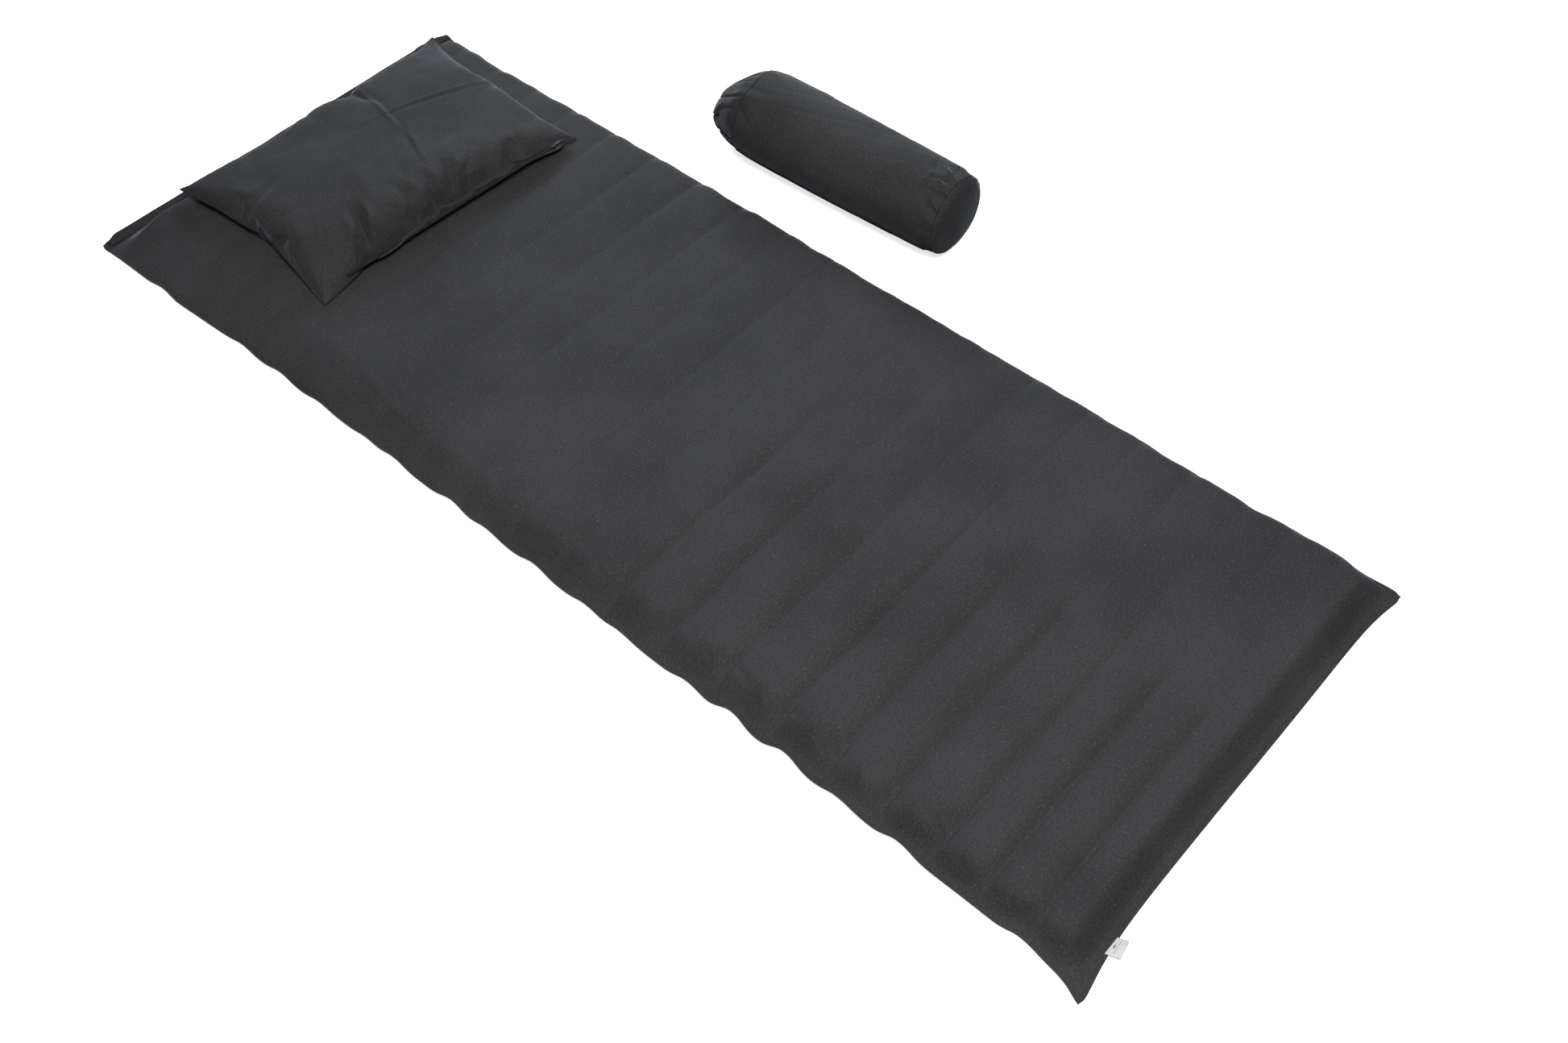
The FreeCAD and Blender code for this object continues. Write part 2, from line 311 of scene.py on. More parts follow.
def cloth_material(name, dark, light, sheen):
    """Matte twill: fine diagonal ribs, uneven dye, stray lint. Coordinates are the cloth's own, in metres."""
    item, tree = material(name)
    place = cloth_coordinates(tree)
    dye = node(tree, "ShaderNodeTexNoise", Vector=place, Scale=5.0, Detail=3.0, Roughness=0.55)
    grain = node(tree, "ShaderNodeTexNoise", Vector=place, Scale=330.0, Detail=5.0, Roughness=0.8)
    tone = node(tree, "ShaderNodeMix", data_type="FLOAT", Factor=0.72, A=dye, B=grain)
    colour = with_lint(tree, place, ramp(tree, tone, dark, light, (0.34, 0.66)))

    ribs = node(tree, "ShaderNodeTexWave", bands_direction="DIAGONAL", Vector=place,
                Scale=0.444 / TWILL_PITCH, Distortion=0.6, Detail=1.0, Detail_Scale=2.0)
    fibres = node(tree, "ShaderNodeTexNoise", Vector=place, Scale=1900.0, Detail=2.0)
    relief = maths(tree, "MULTIPLY_ADD", fibres, 0.5, ribs.outputs["Fac"])
    bump = node(tree, "ShaderNodeBump", Height=relief, Strength=0.55, Distance=0.12 * MM)
    surface(tree, Base_Color=colour, Normal=bump, Roughness=0.88, Specular_IOR_Level=0.22, Sheen_Weight=sheen,
            Sheen_Roughness=0.35, Sheen_Tint=(0.8, 0.86, 1.0, 1))
    return item


def plain_material(name, dark, light, scale, roughness, metallic=0.0, bump=0.3, distance=0.05 * MM,
                   specular=0.5):
    """Two-tone surface with fine grain, in the piece's own coordinates."""
    item, tree = material(name)
    place = cloth_coordinates(tree)
    grain = node(tree, "ShaderNodeTexNoise", Vector=place, Scale=scale, Detail=4.0, Roughness=0.6)
    rough = node(tree, "ShaderNodeMapRange", grain, To_Min=roughness - 0.08, To_Max=roughness + 0.08)
    raised = node(tree, "ShaderNodeBump", Height=grain, Strength=bump, Distance=distance)
    surface(tree, Base_Color=ramp(tree, grain, dark, light, (0.35, 0.7)), Roughness=rough, Normal=raised,
            Metallic=metallic, Specular_IOR_Level=specular)
    return item


def label_material():
    """White satin ribbon with a plain bar and a small block where a print would be."""
    item, tree = material("white_label")
    place = cloth_coordinates(tree)
    split = node(tree, "ShaderNodeSeparateXYZ", place)
    weave = node(tree, "ShaderNodeTexWave", bands_direction="Y", Vector=place, Scale=620.0).outputs["Fac"]

    def within(axis, low, high):
        above = maths(tree, "GREATER_THAN", split.outputs[axis], low)
        return maths(tree, "MULTIPLY", above, maths(tree, "LESS_THAN", split.outputs[axis], high))

    def patch(half_width, low, high):
        return maths(tree, "MULTIPLY", within("X", -half_width, half_width), within("Y", low, high))

    bar, block = patch(9 * MM, 6.4 * MM, 6.9 * MM), patch(2.6 * MM, 2.8 * MM, 4.6 * MM)
    white = ramp(tree, weave, (0.42, 0.42, 0.45), (0.56, 0.56, 0.58))
    colour = blended(tree, maths(tree, "MAXIMUM", bar, block), white, (0.12, 0.12, 0.14, 1))
    bump = node(tree, "ShaderNodeBump", Height=weave, Strength=0.3, Distance=0.05 * MM)
    surface(tree, Base_Color=colour, Normal=bump, Roughness=0.38, Sheen_Weight=0.2)
    return item


def floor_material():
    """Pale paper that glows a little, so that it stays even and nearly white."""
    item, tree = material("floor_paper")
    place = node(tree, "ShaderNodeTexCoord").outputs["Object"]
    tone = node(tree, "ShaderNodeTexNoise", Vector=place, Scale=1.5, Detail=2.0)
    paper = ramp(tree, tone, (0.90, 0.90, 0.90), (0.93, 0.93, 0.93))
    surface(tree, Base_Color=paper, Emission_Color=paper, Emission_Strength=0.8, Roughness=0.9,
            Specular_IOR_Level=0.1)
    return item


# ---------------------------------------------------------------- stage


def camera():
    data = bpy.data.cameras.new("camera")
    data.lens = CAMERA_LENS
    data.sensor_width = 36
    item = new_object("camera", data)
    roll = Matrix.Rotation(math.radians(CAMERA_ROLL), 4, "Z").to_quaternion()
    item.rotation_mode = "QUATERNION"
    item.rotation_quaternion = Vector(CAMERA_AIM).to_track_quat("-Z", "Y") @ roll
    item.location = CAMERA_PLACE
    bpy.context.scene.camera = item


def area_light(name, place, aim, size, power, colour):
    data = bpy.data.lights.new(name, "AREA")
    data.size = size
    data.energy = power
    data.color = colour
    item = new_object(name, data)
    item.location = place
    item.rotation_mode = "QUATERNION"
    item.rotation_quaternion = (Vector(aim) - Vector(place)).to_track_quat("-Z", "Y")


def sky():
    """Soft light from above that fades out towards the horizon, so that steep sides stay dark."""
    world = bpy.data.worlds.new("studio")
    world.use_nodes = True
    tree = world.node_tree
    place = node(tree, "ShaderNodeTexCoord").outputs["Generated"]
    up = node(tree, "ShaderNodeSeparateXYZ", place).outputs["Z"]
    shade = ramp(tree, up, (0.0194, 0.0196, 0.02), (0.97, 0.98, 1.0), (0.15, 0.9))
    background = tree.nodes["Background"]
    background.inputs["Strength"].default_value = SKY_STRENGTH
    tree.links.new(shade.outputs["Color"], background.inputs["Color"])
    bpy.context.scene.world = world


def stage():
    """Sky, lights, and a paper floor and backdrop that light nothing themselves."""
    bpy.context.scene.view_settings.view_transform = "Standard"
    sky()
    for light in LIGHTS:
        area_light(*light)
    corners = [(x * FLOOR_HALF, y * FLOOR_HALF, 0) for x, y in ((-1, -1), (1, -1), (1, 1), (-1, 1))]
    floor = new_object("floor", mesh_from("floor", corners, [(0, 1, 2, 3)], smooth=False))
    floor.location.z = -0.4 * MM
    turn = np.linspace(0, 2 * math.pi, BACKDROP_SIDES, endpoint=False)
    ring = np.stack([np.cos(turn), np.sin(turn)], -1) * BACKDROP_RADIUS
    wall = [(*place, z) for z in (-1 * MM, BACKDROP_HEIGHT) for place in ring]
    number = np.arange(2 * BACKDROP_SIDES).reshape(2, -1)
    backdrop = new_object("backdrop", mesh_from("backdrop", wall, ring_faces(number[:1], number[1:])))
    backdrop.visible_shadow = False
    paper = floor_material()
    for item in (floor, backdrop):
        item.visible_diffuse = item.visible_glossy = False
        item.data.materials.append(paper)


# ---------------------------------------------------------------- mattress cover

SECTIONS = ("foot", "lower", "upper", "head")
LOW, HIGH = (np.array(v) for v in CAD_BOUNDS)
HALF_WIDTH = node_span("lower_cover_top")[1][0]
FOOT_CORNER, HEAD_CORNER = LOW[1] + 1 * MM, HIGH[1] + 2 * MM
HEAD_SEAM = node_span("head_cover_top")[1][1]


def section_limits(name):
    low, high = node_span(f"{name}_cover_top")
    return low[1], high[1]


def channel_valleys():
    """The Y of each line between two rolls of filling, and the Y of each fold between two sections."""
    lines = []
    for name in SECTIONS:
        rolls = sorted(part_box(n)[0][1] for n in frame["nodes"] if n.startswith(f"{name}_fill_roll"))
        lines += rolls[1:]
    folds = [(section_limits(a)[1] + section_limits(b)[0]) / 2 for a, b in zip(SECTIONS, SECTIONS[1:])]
    return np.array(sorted(lines + folds)), np.array(folds)


VALLEYS, FOLDS = channel_valleys()

# Where the padding pulls a side's seam in further than between the channels: Y, and how far, in millimetres
LEFT_NOTCHES = (
    (-805, 5), (-630, 6.5), (-540, 4), (-455, 8.5), (-370, 9), (-300, 5), (-185, 3), (-125, 3.5), (-30, 5),
    (60, 3.5), (130, 5.5), (245, 4), (300, 2.5), (400, 3), (485, 4), (570, 3.5), (750, 4),
)
RIGHT_NOTCHES = (
    (-840, 4), (-765, 2), (-690, 3), (-610, 2), (-545, 3), (-460, 2.5), (-380, 3), (-290, 2.5), (-200, 3),
    (-110, 2), (-20, 2.5), (70, 3), (160, 2), (250, 3), (340, 2), (430, 3), (520, 2.5), (610, 3), (760, 3),
)
# Sharp creases in the cloth: X and Y of the middle, heading from +X in degrees, length, width and height
CREASES = (
    (-300, -705, 35, 46, 5, 4.4), (-296, -668, 60, 40, 5, -4.2), (-298, -625, 30, 44, 5, 4.2),
    (-296, -590, 64, 40, 5, -4.0), (-297, -548, 32, 46, 5, 4.6), (-293, -512, 62, 44, 5, -4.6),
    (-297, -472, 34, 50, 5, 5.0), (-290, -436, 70, 44, 5, -4.6), (-297, -392, 36, 46, 5, 4.8),
    (-293, -352, 64, 44, 5, -4.4), (-295, -310, 34, 46, 5, 4.4), (-293, -276, 66, 40, 5, -4.0),
    (-297, -232, 32, 44, 5, 3.4), (-300, -150, 40, 40, 5, 3.0), (-298, -70, 44, 40, 5, 2.6),
    (-296, -110, 66, 40, 5, -2.6), (-298, 20, 36, 44, 5, 2.6), (-296, 70, 62, 40, 5, -2.4),
    (-298, 175, 40, 44, 5, 2.4), (175, 345, 62, 90, 7, 1.3), (195, 362, 58, 110, 6, -1.2),
    (218, 380, 52, 100, 7, 1.4), (240, 352, 60, 70, 6, -0.9), (-283, 325, 88, 210, 6, 1.2),
    (-270, 300, 92, 150, 8, -1.1), (-262, 380, 80, 90, 6, 0.8), (-300, 200, 72, 90, 8, 1.0),
    (-285, 130, 60, 70, 7, -0.9), (-305, -40, 65, 60, 7, 0.9), (-280, 866, -4, 150, 9, 2.6),
    (-250, 842, -8, 120, 11, -1.8), (-310, 800, 40, 90, 8, 1.2), (140, -806, 4, 120, 4, -1.6),
    (300, -860, -35, 80, 8, 1.2), (-300, -850, 38, 90, 9, 1.3), (-250, -700, 12, 120, 9, -0.8),
    (-240, -520, 6, 160, 8, -0.9), (60, 262, 3, 180, 8, -0.7), (-120, 215, 10, 150, 8, 0.6),
    (-60, 420, 20, 120, 9, 0.8), (-200, 430, -25, 110, 9, -0.9), (230, 560, 70, 120, 7, 1.0),
    (300, 480, 80, 90, 7, -0.9), (310, 180, 75, 80, 7, 0.9), (320, -230, 80, 70, 7, 0.8),
)
# How far the padding pulls each side's seam in, and how far the right side's cloth reaches out, at each Y
LEFT_PULL = ((-720, 17.5), (-550, 17.0), (300, 14.5), (600, 9.5), (710, 2.5), (900, 2.5))
RIGHT_PULL = (
    (-900, 3), (-780, -1), (-700, 0), (-500, 0.5), (-200, 0.5), (300, 2.5), (450, 5), (550, 8), (650, 10),
    (900, 12),
)
RIGHT_REACH = (
    (-900, 19), (-780, 17), (-700, 11), (-400, 11), (-200, 7), (150, 5), (400, 2), (600, 0), (700, -4),
    (900, 0),
)


def along_side(y, table):
    at, value = np.array(table).T * MM
    return np.interp(y, at, value)


def side_pull(y, notches, table):
    """How far a side's seam is pulled in at Y."""
    pull = along_side(y, table) * (1 - np.exp(-(np.clip(y - FOOT_CORNER, 0, 9) / EAR_LENGTH) ** 1.3))
    pull *= 1 - np.exp(-(np.clip(HEAD_CORNER - y, 0, 9) / EAR_LENGTH) ** 1.3)
    for at, depth in notches:
        away = y - at * MM
        pull = pull + depth * MM * np.exp(-np.abs(away / np.where(away < 0, 0.030, 0.019)) ** 2.2)
    return pull


def end_pull(x, left, right):
    """How far an end's seam is pulled in at X. left and right are the pull and its build-up length there."""
    (left_pull, left_run), (right_pull, right_run) = left, right
    pull = (left_pull + (right_pull - left_pull) * fade(x / 0.4 + 0.5)) * MM
    pull = pull * (1 - np.exp(-(np.clip(x + HALF_WIDTH, 0, 9) / (left_run * MM)) ** 1.5))
    return pull * (1 - np.exp(-(np.clip(HALF_WIDTH - x, 0, 9) / (right_run * MM)) ** 1.3))


# How far the valleys of the cloth lie from the joints between the rolls below, at each Y, in millimetres
VALLEY_SHIFT = ((-830, 0), (-730, -10), (-660, -17), (-500, -7), (-430, 0), (900, 0))


def channel_share(x, y):
    """How far across its channel a point lies: 0 at the foot-side valley, 1 at the head-side one."""
    wander = 4 * MM * smooth_noise(11, x * 4.5, y * 3) + 2 * MM * smooth_noise(12, x * 13, y * 9)
    lines = VALLEYS + along_side(VALLEYS, VALLEY_SHIFT)
    edges = np.concatenate([[FOOT_CORNER + 4 * MM], lines, [HEAD_CORNER - 4 * MM]])
    yy = np.clip(y + wander, edges[0], edges[-1] - 1e-6)
    index = np.clip(np.searchsorted(edges, yy, side="right") - 1, 0, len(edges) - 2)
    return (yy - edges[index]) / (edges[index + 1] - edges[index])


def valley_shape(share):
    """1 in the valleys between channels and 0 on their crowns."""
    arch = np.abs(2 * share - 1)
    return 0.78 * arch**2.2 + 0.22 * arch**5


def channel_strength(x, y):
    """How deep the valleys are: deepest in the foot half on the left, faint on the right and by the head."""
    left = 1 - 0.80 * fade((x + 0.08) / 0.22)
    by_pillow = bell(np.hypot((x - 0.28) / 0.14, (y - 0.31) / 0.17), 1.0)
    head = 0.20 + 0.28 * by_pillow + 0.25 * fade((-0.20 - x) / 0.12) * fade((0.6 - y) / 0.35)
    share = fade((y + 0.22) / 0.22)
    lumpy = 1 + 0.30 * smooth_noise(13, x * 6, y * 7)
    by_left_seam = (0.15 + 0.35 * (1 - share)) * np.exp(-(x + HALF_WIDTH) / 0.06)
    by_right_seam = 0.10 * np.exp(-(HALF_WIDTH - x) / 0.04)
    return (left * (1 - share) + head * share) * lumpy + by_left_seam + by_right_seam


def rise(t, full=0.0):
    """The padding's climb from the seam as t goes from 0 to 1: even, or rounder the nearer full is to 1."""
    t = np.clip(t, 0, 1)
    return (1 - full) * (1 - (1 - t) ** 1.5) + full * (1 - (1 - t) ** 2.2) ** (1 / 1.5)


def crease_height(x, y, creases):
    """Height of narrow ridges, or of grooves where it is negative, each slightly curved."""
    height = np.zeros_like(x)
    for at_x, at_y, heading, length, width, tall in creases:
        c, s = math.cos(math.radians(heading)), math.sin(math.radians(heading))
        along = (x - at_x * MM) * c + (y - at_y * MM) * s
        across = (y - at_y * MM) * c - (x - at_x * MM) * s
        across = across + 0.05 * length * MM * np.sin(3.0 * along / (length * MM))
        ridge = np.exp(-np.abs(across / (width * MM)) ** 1.4) * bell(along, 0.5 * length * MM)
        height += tall * MM * ridge
    return height


def fold_line(x, y):
    """The depth of the sharp, uneven V where two sections meet."""
    depth = np.zeros_like(x)
    for k, at in enumerate(FOLDS):
        line = at + 3 * MM * smooth_noise(21 + k, x * 3, 0) + 1.2 * MM * smooth_noise(31 + k, x * 14, 0)
        strength = 1.3 + 0.6 * smooth_noise(41 + k, x * 5, 0)
        depth += strength * MM * np.exp(-np.abs(y - line) / (3.2 * MM))
    return depth


def cover_top(u, v, side, end, level, ear):
    """Height of the cover's upper cloth: crowned channels that fall to the seam all round."""
    share = channel_share(u, v)
    valley = valley_shape(share)
    # on the left the channels' ends are puffed: each has a steep flank that swings inwards like a hook
    uneven = 1 + 0.5 * smooth_noise(56, v * 7, 0.5)
    hook = fade(share / 0.16) * np.clip(1 - share, 0, 1) ** 1.3 * fade((0.1 - v) / 0.5) * uneven
    # towards the head end the left side slopes more gently
    soft = 0.30 * fade((v + 0.60) / 0.25) + 0.70 * fade((v - 0.05) / 0.35)
    flank = fade((side - 2 * MM - HOOK * hook) / (LEFT_RISE * (1.0 + 0.25 * valley + 1.5 * soft)))
    left_climb = flank + (rise((side - SEAM_LIP) / (2.3 * LEFT_RISE), 0.35) - flank) * 0.65 * soft
    right_climb = rise((side - SEAM_LIP) / (RIGHT_RISE * (1 + 0.16 * valley)), 0.8)
    climb = np.where(u < 0, left_climb, right_climb) * fade((end - 10 * MM) / END_RISE) * ear

    crown = CREST - VALLEY_DEPTH * channel_strength(u, v) * valley
    crown += 1.4 * MM * smooth_noise(61, u * 7, v * 6) + 0.35 * MM * smooth_noise(62, u * 22, v * 26)
    crown += 0.12 * MM * smooth_noise(63, u * 70, v * 80)
    crown += crease_height(u, v, CREASES) - fold_line(u, v)
    z = level + climb * (crown - level)

    side_pucker = smooth_noise(51, v * 34, np.sign(u) * 7.3)
    side_pucker += 0.6 * smooth_noise(52, v * 62, np.sign(u) * 3.1)
    side_pucker *= np.where(u < 0, 2.0 + 1.2 * fade((0.1 - v) / 0.3), 1.6) * MM
    end_pucker = 1.0 * MM * smooth_noise(53, u * 30, np.sign(v) * 5.7)
    for pucker, away in ((side_pucker, side), (end_pucker, end)):
        z += ear * pucker * np.exp(-away / 0.035) * fade(away / 0.012)
    return np.where(np.minimum(side, end) < SEAM_LIP, level + CLOTH, np.maximum(z, level + CLOTH))


def cover_underside(u, v, side, end, level, ear):
    """Height of the cover's lower cloth: it falls from the seam to the floor."""
    climb = rise((side - SEAM_LIP) / UNDER_RISE, 1) * rise((end - SEAM_LIP) / UNDER_RISE, 1) * ear
    hollow = 1.5 * MM * valley_shape(channel_share(u, v)) * fade(side / 0.05)
    z = level * (1 - climb) + hollow * climb
    return np.where(np.minimum(side, end) < SEAM_LIP, level - CLOTH, np.clip(z, 0.05 * MM, level - CLOTH))


def mattress_cloth(u, v, top):
    """Place of the cover's cloth. u and v run across and along the flat cloth, with the seam at its edges."""
    left = side_pull(v, LEFT_NOTCHES, LEFT_PULL)
    right = side_pull(v, RIGHT_NOTCHES, RIGHT_PULL) - along_side(v, RIGHT_REACH)
    x = u + np.where(u < 0, left, -right) * (np.abs(u) / HALF_WIDTH) ** 5
    foot_in = end_pull(u, (15, 62), (12, 38)) * np.exp(-(v - FOOT_CORNER) / 0.09)
    head_gap = (HEAD_CORNER - HEAD_SEAM) / MM
    head_in = end_pull(u, (head_gap, 4 * head_gap), (head_gap, 30)) * np.exp(-(HEAD_CORNER - v) / 0.09)
    y = v + foot_in - head_in

    side, end = HALF_WIDTH - np.abs(u), np.minimum(v - FOOT_CORNER, HEAD_CORNER - v)
    corner = np.hypot(side, end)
    blunt = CORNER_CUT * bell(corner, 9 * MM)
    x, y = x - np.sign(u) * blunt, y - np.sign(v) * blunt
    ear = 1 - np.exp(-((corner / 0.043) ** 2))       # the corners stay flat, like ears
    level = SEAM_LEVEL * (0.35 + 0.65 * (1 - np.exp(-corner / 0.05)))
    level = level + 1.1 * MM * smooth_noise(54, v * 12 + u, np.sign(u) * 4.4)
    return x, y, (cover_top if top else cover_underside)(u, v, side, end, level, ear)


def edge_steps():
    """Steps in from a seam, closer at the seam."""
    return (EDGE_BAND * np.linspace(0, 1, 20) ** 1.6)[:-1]


def cloth_columns():
    """Columns across the width, closer at the seams."""
    middle = spaced(-HALF_WIDTH + EDGE_BAND, HALF_WIDTH - EDGE_BAND, COLUMN_STEP)
    return np.concatenate([-HALF_WIDTH + edge_steps(), middle, HALF_WIDTH - edge_steps()[::-1]])


def cloth_rows(cuts):
    """Rows along the length, closer at the two ends and exactly on each cut."""
    stops = [FOOT_CORNER + EDGE_BAND, *cuts, HEAD_CORNER - EDGE_BAND]
    runs = [spaced(a, b, ROW_STEP)[:-1] for a, b in zip(stops, stops[1:])]
    return np.concatenate([FOOT_CORNER + edge_steps(), *runs, [stops[-1]], HEAD_CORNER - edge_steps()[::-1]])


def whole_cover(cuts):
    """The cover as one mesh: points, their places on the flat cloth, faces and the points' normals."""
    v, u = np.meshgrid(cloth_rows(cuts), cloth_columns(), indexing="ij")
    count = u.size
    points = np.stack([np.stack(mattress_cloth(u, v, top), -1) for top in (True, False)]).reshape(-1, 3)
    place = np.stack([np.stack([u, v, np.full_like(u, z)], -1) for z in (0, UNDER_SHIFT)]).reshape(-1, 3)
    rim = rim_of(*u.shape)
    after = np.roll(rim, -1)
    hem = np.stack([rim + count, after + count, after, rim], -1)
    faces = np.concatenate([grid_faces(*u.shape), grid_faces(*u.shape, start=count, flip=True), hem])
    mesh = mesh_from("whole", points, faces)
    normals = np.array([tuple(corner.normal) for corner in mesh.vertices])
    bpy.data.meshes.remove(mesh)
    return points, place, faces, normals


# The cover's pieces: name, section that stays, section that bends away, fold, and which way that is along Y
COVER_PIECES = (
    ("foot_cover", "lower_section", "foot_section", "foot_fold", -1),
    ("centre_cover", "upper_section", "lower_section", "centre_fold", -1),
    ("head_cover", "upper_section", "head_section", "head_fold", 1),
)
SECTION_OWNERS = {"foot": "foot_cover", "lower": "centre_cover", "upper": "centre_cover",
                  "head": "head_cover"}
SECTION_LAYERS = ("_cover_", "_ticking_", "_fill_roll_")


def mattress_cover(cloth):
    """One padded cover in three pieces. They part half way between folds."""
    cuts = [VALLEYS[np.argmin(np.abs(VALLEYS - (a + b) / 2))] for a, b in zip(FOLDS, FOLDS[1:])]
    points, place, faces, normals = whole_cover(cuts)
    middle = place[faces, 1].mean(1)
    limits = [-math.inf, *cuts, math.inf]
    for (name, fixed, moving, fold, way), low, high in zip(COVER_PIECES, limits, limits[1:]):
        mine = faces[(middle > low) & (middle < high)]
        used, inverse = np.unique(mine, return_inverse=True)
        mesh = mesh_from(name, points[used], inverse.reshape(mine.shape), place[used])
        mesh.normals_split_custom_set_from_vertices([tuple(n) for n in normals[used]])
        item = dressed(name, mesh, cloth)
        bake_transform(item)


def hide_sections():
    """Hides the cloth, ticking and filling of the sections, which the cover pieces stand for."""
    for name in sorted(frame["nodes"]):
        for section, owner in SECTION_OWNERS.items():
            if name.startswith(section) and any(layer in name for layer in SECTION_LAYERS):
                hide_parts(name)


def lip_strip(name, top, cloth, body):
    """A thin strip of cloth from a grid of the points of its upper face."""
    count, columns = top.shape[:2]
    size = count * columns
    points = np.concatenate([top.reshape(-1, 3), (top - (0, 0, 0.9 * MM)).reshape(-1, 3)])
    rim = rim_of(count, columns)
    after = np.roll(rim, -1)
    faces = np.concatenate([grid_faces(count, columns, flip=True), grid_faces(count, columns, start=size),
                            np.stack([rim, after, after + size, rim + size], -1)])
    mesh = mesh_from(name, points, faces, points + (4, 0, 0))
    turn_outwards(mesh)
    modified(dressed(name, mesh, cloth, body), "SUBSURF", levels=1, render_levels=1)


# Lip over the mattress' zip: how far out from the seam and up each of its lines lies, in millimetres
HEAD_FLAP = ((-12, -1.2), (-9, 0.9), (-4, 1.5), (1, 1.5), (5, 1.2), (6.8, 0.8))
FLAP_ROOT = -5                # the lip tapers at its two ends from this line outwards


def head_flap(cloth):
    """The lip of the top cloth that covers the zip along the head end's seam."""
    columns = spaced(-HALF_WIDTH + 10 * MM, HALF_WIDTH - 9 * MM, 4 * MM)
    wave = smooth_noise(55, columns * 24, 0.4)
    ends = fade((columns - columns[0]) / 0.02) * fade((columns[-1] - columns) / 0.02)
    level = node_span("mattress_zip_teeth")[1][2]
    top = []
    for out, lift in HEAD_FLAP:
        reach = (out - FLAP_ROOT) * (0.35 + 0.65 * ends) + FLAP_ROOT if out > FLAP_ROOT else out
        y = HEAD_SEAM + (reach + 0.4 * wave * (out > 0)) * MM
        z = level + (lift + 0.5 * wave * (out > -9)) * MM
        top.append(np.stack(np.broadcast_arrays(columns, y, z), -1))
    lip_strip("head_zip_flap", np.stack(top, 1), cloth, "head_section")


# ---------------------------------------------------------------- pillow


def long_axis(name):
    """Middle of a long straight node and its run, which points to +X, or to +Y where it is lengthwise."""
    points = node_points(name)
    middle = (points.min(0) + points.max(0)) / 2
    run = np.linalg.svd(points - points.mean(0), full_matrices=False)[2][0]
    run *= np.sign(run[np.argmax(np.abs(run))])
    return middle, run


# The bag's cloth in the simulation
BAG_CLOTH = {
    "quality": 6, "mass": 0.12, "tension_stiffness": 15, "compression_stiffness": 15, "shear_stiffness": 6,
    "bending_stiffness": 0.5, "air_damping": 3, "use_pressure": True,
}


def inflate(points, faces, pressure, frames):
    """The points of a flat bag once the simulation has blown it up."""
    mesh = mesh_from("bag", points, faces)
    bag = new_object("bag", mesh)
    cloth = modified(bag, "CLOTH")
    for key, value in BAG_CLOTH.items():
        setattr(cloth.settings, key, value)
    cloth.settings.uniform_pressure_force = pressure
    cloth.settings.effector_weights.gravity = 0
    cloth.collision_settings.use_collision = False
    cloth.point_cache.frame_end = frames
    for step in range(1, frames + 1):
        bpy.context.scene.frame_set(step)
    blown = bag.evaluated_get(bpy.context.evaluated_depsgraph_get())
    result = np.array([tuple(v.co) for v in blown.data.vertices])
    bpy.context.scene.frame_set(1)
    bpy.data.objects.remove(bag)
    bpy.data.meshes.remove(mesh)
    return result


PILLOW_FLAT = (0.270, 0.188)      # half the flat cover's length and depth
PILLOW_STEP = 5.4 * MM
# How far each corner lies from the plain rectangle, in millimetres: along, across and up
PILLOW_CORNERS = {
    (-1, -1): (-1, -13, -19), (1, -1): (-11, -8, -9), (-1, 1): (-9, -4, -5), (1, 1): (-12, 5, 2),
}
# Creases as in the mattress: X and Y of the middle, heading, length, width and height
PILLOW_CREASES = (
    (74, 722, 84, 150, 4, 3.0), (54, 615, 74, 100, 4, 2.2), (82, 722, 84, 130, 5, -1.6),
    (47, 618, 76, 90, 5, -1.6), (158, 676, -12, 200, 3, 2.0), (158, 670, -12, 180, 4, -1.6),
    (82, 775, 100, 60, 9, -6.0), (-114, 540, 80, 60, 8, -17), (-97, 544, 72, 60, 8, 8.5),
    (-131, 541, 66, 60, 8, 7.5), (-150, 600, 60, 90, 16, 2.4), (38, 517, 74, 52, 8, -15),
    (55, 524, 62, 54, 8, 7.5), (20, 524, 84, 52, 8, 6.0), (160, 512, 56, 60, 10, -10),
    (143, 514, 68, 50, 8, 5.4), (176, 532, 26, 80, 11, 4.0), (-30, 536, 100, 66, 9, -5.0),
    (-12, 542, 95, 60, 9, 3.2), (222, 548, 25, 80, 11, -4.0), (100, 596, 25, 130, 20, -4.0),
    (-182, 706, 12, 80, 8, -4.0), (-176, 724, 10, 70, 9, 1.4), (-184, 650, -20, 70, 8, -2.2),
    (-182, 668, -18, 70, 10, 1.0), (-192, 590, 62, 90, 14, 1.2), (-206, 566, 66, 70, 10, -1.2),
    (-60, 590, 80, 90, 16, 2.8), (-5, 575, 70, 80, 16, -2.8), (255, 760, 80, 110, 10, -2.6),
    (240, 640, 15, 80, 9, -2.8), (0, 820, 95, 70, 11, -3.4), (-120, 815, 70, 70, 12, -2.8),
)
# Dents in the front and back seams: place along it from -1 to 1, width along it and depth, in millimetres
FRONT_DENTS = ((-0.63, 12, 12), (-0.44, 24, -3), (-0.30, 20, 2), (-0.04, 11, 12), (0.20, 26, -3),
               (0.34, 12, 4), (0.53, 12, 9), (0.80, 20, -2))
BACK_DENTS = ((0.17, 15, 11), (-0.35, 40, 4))


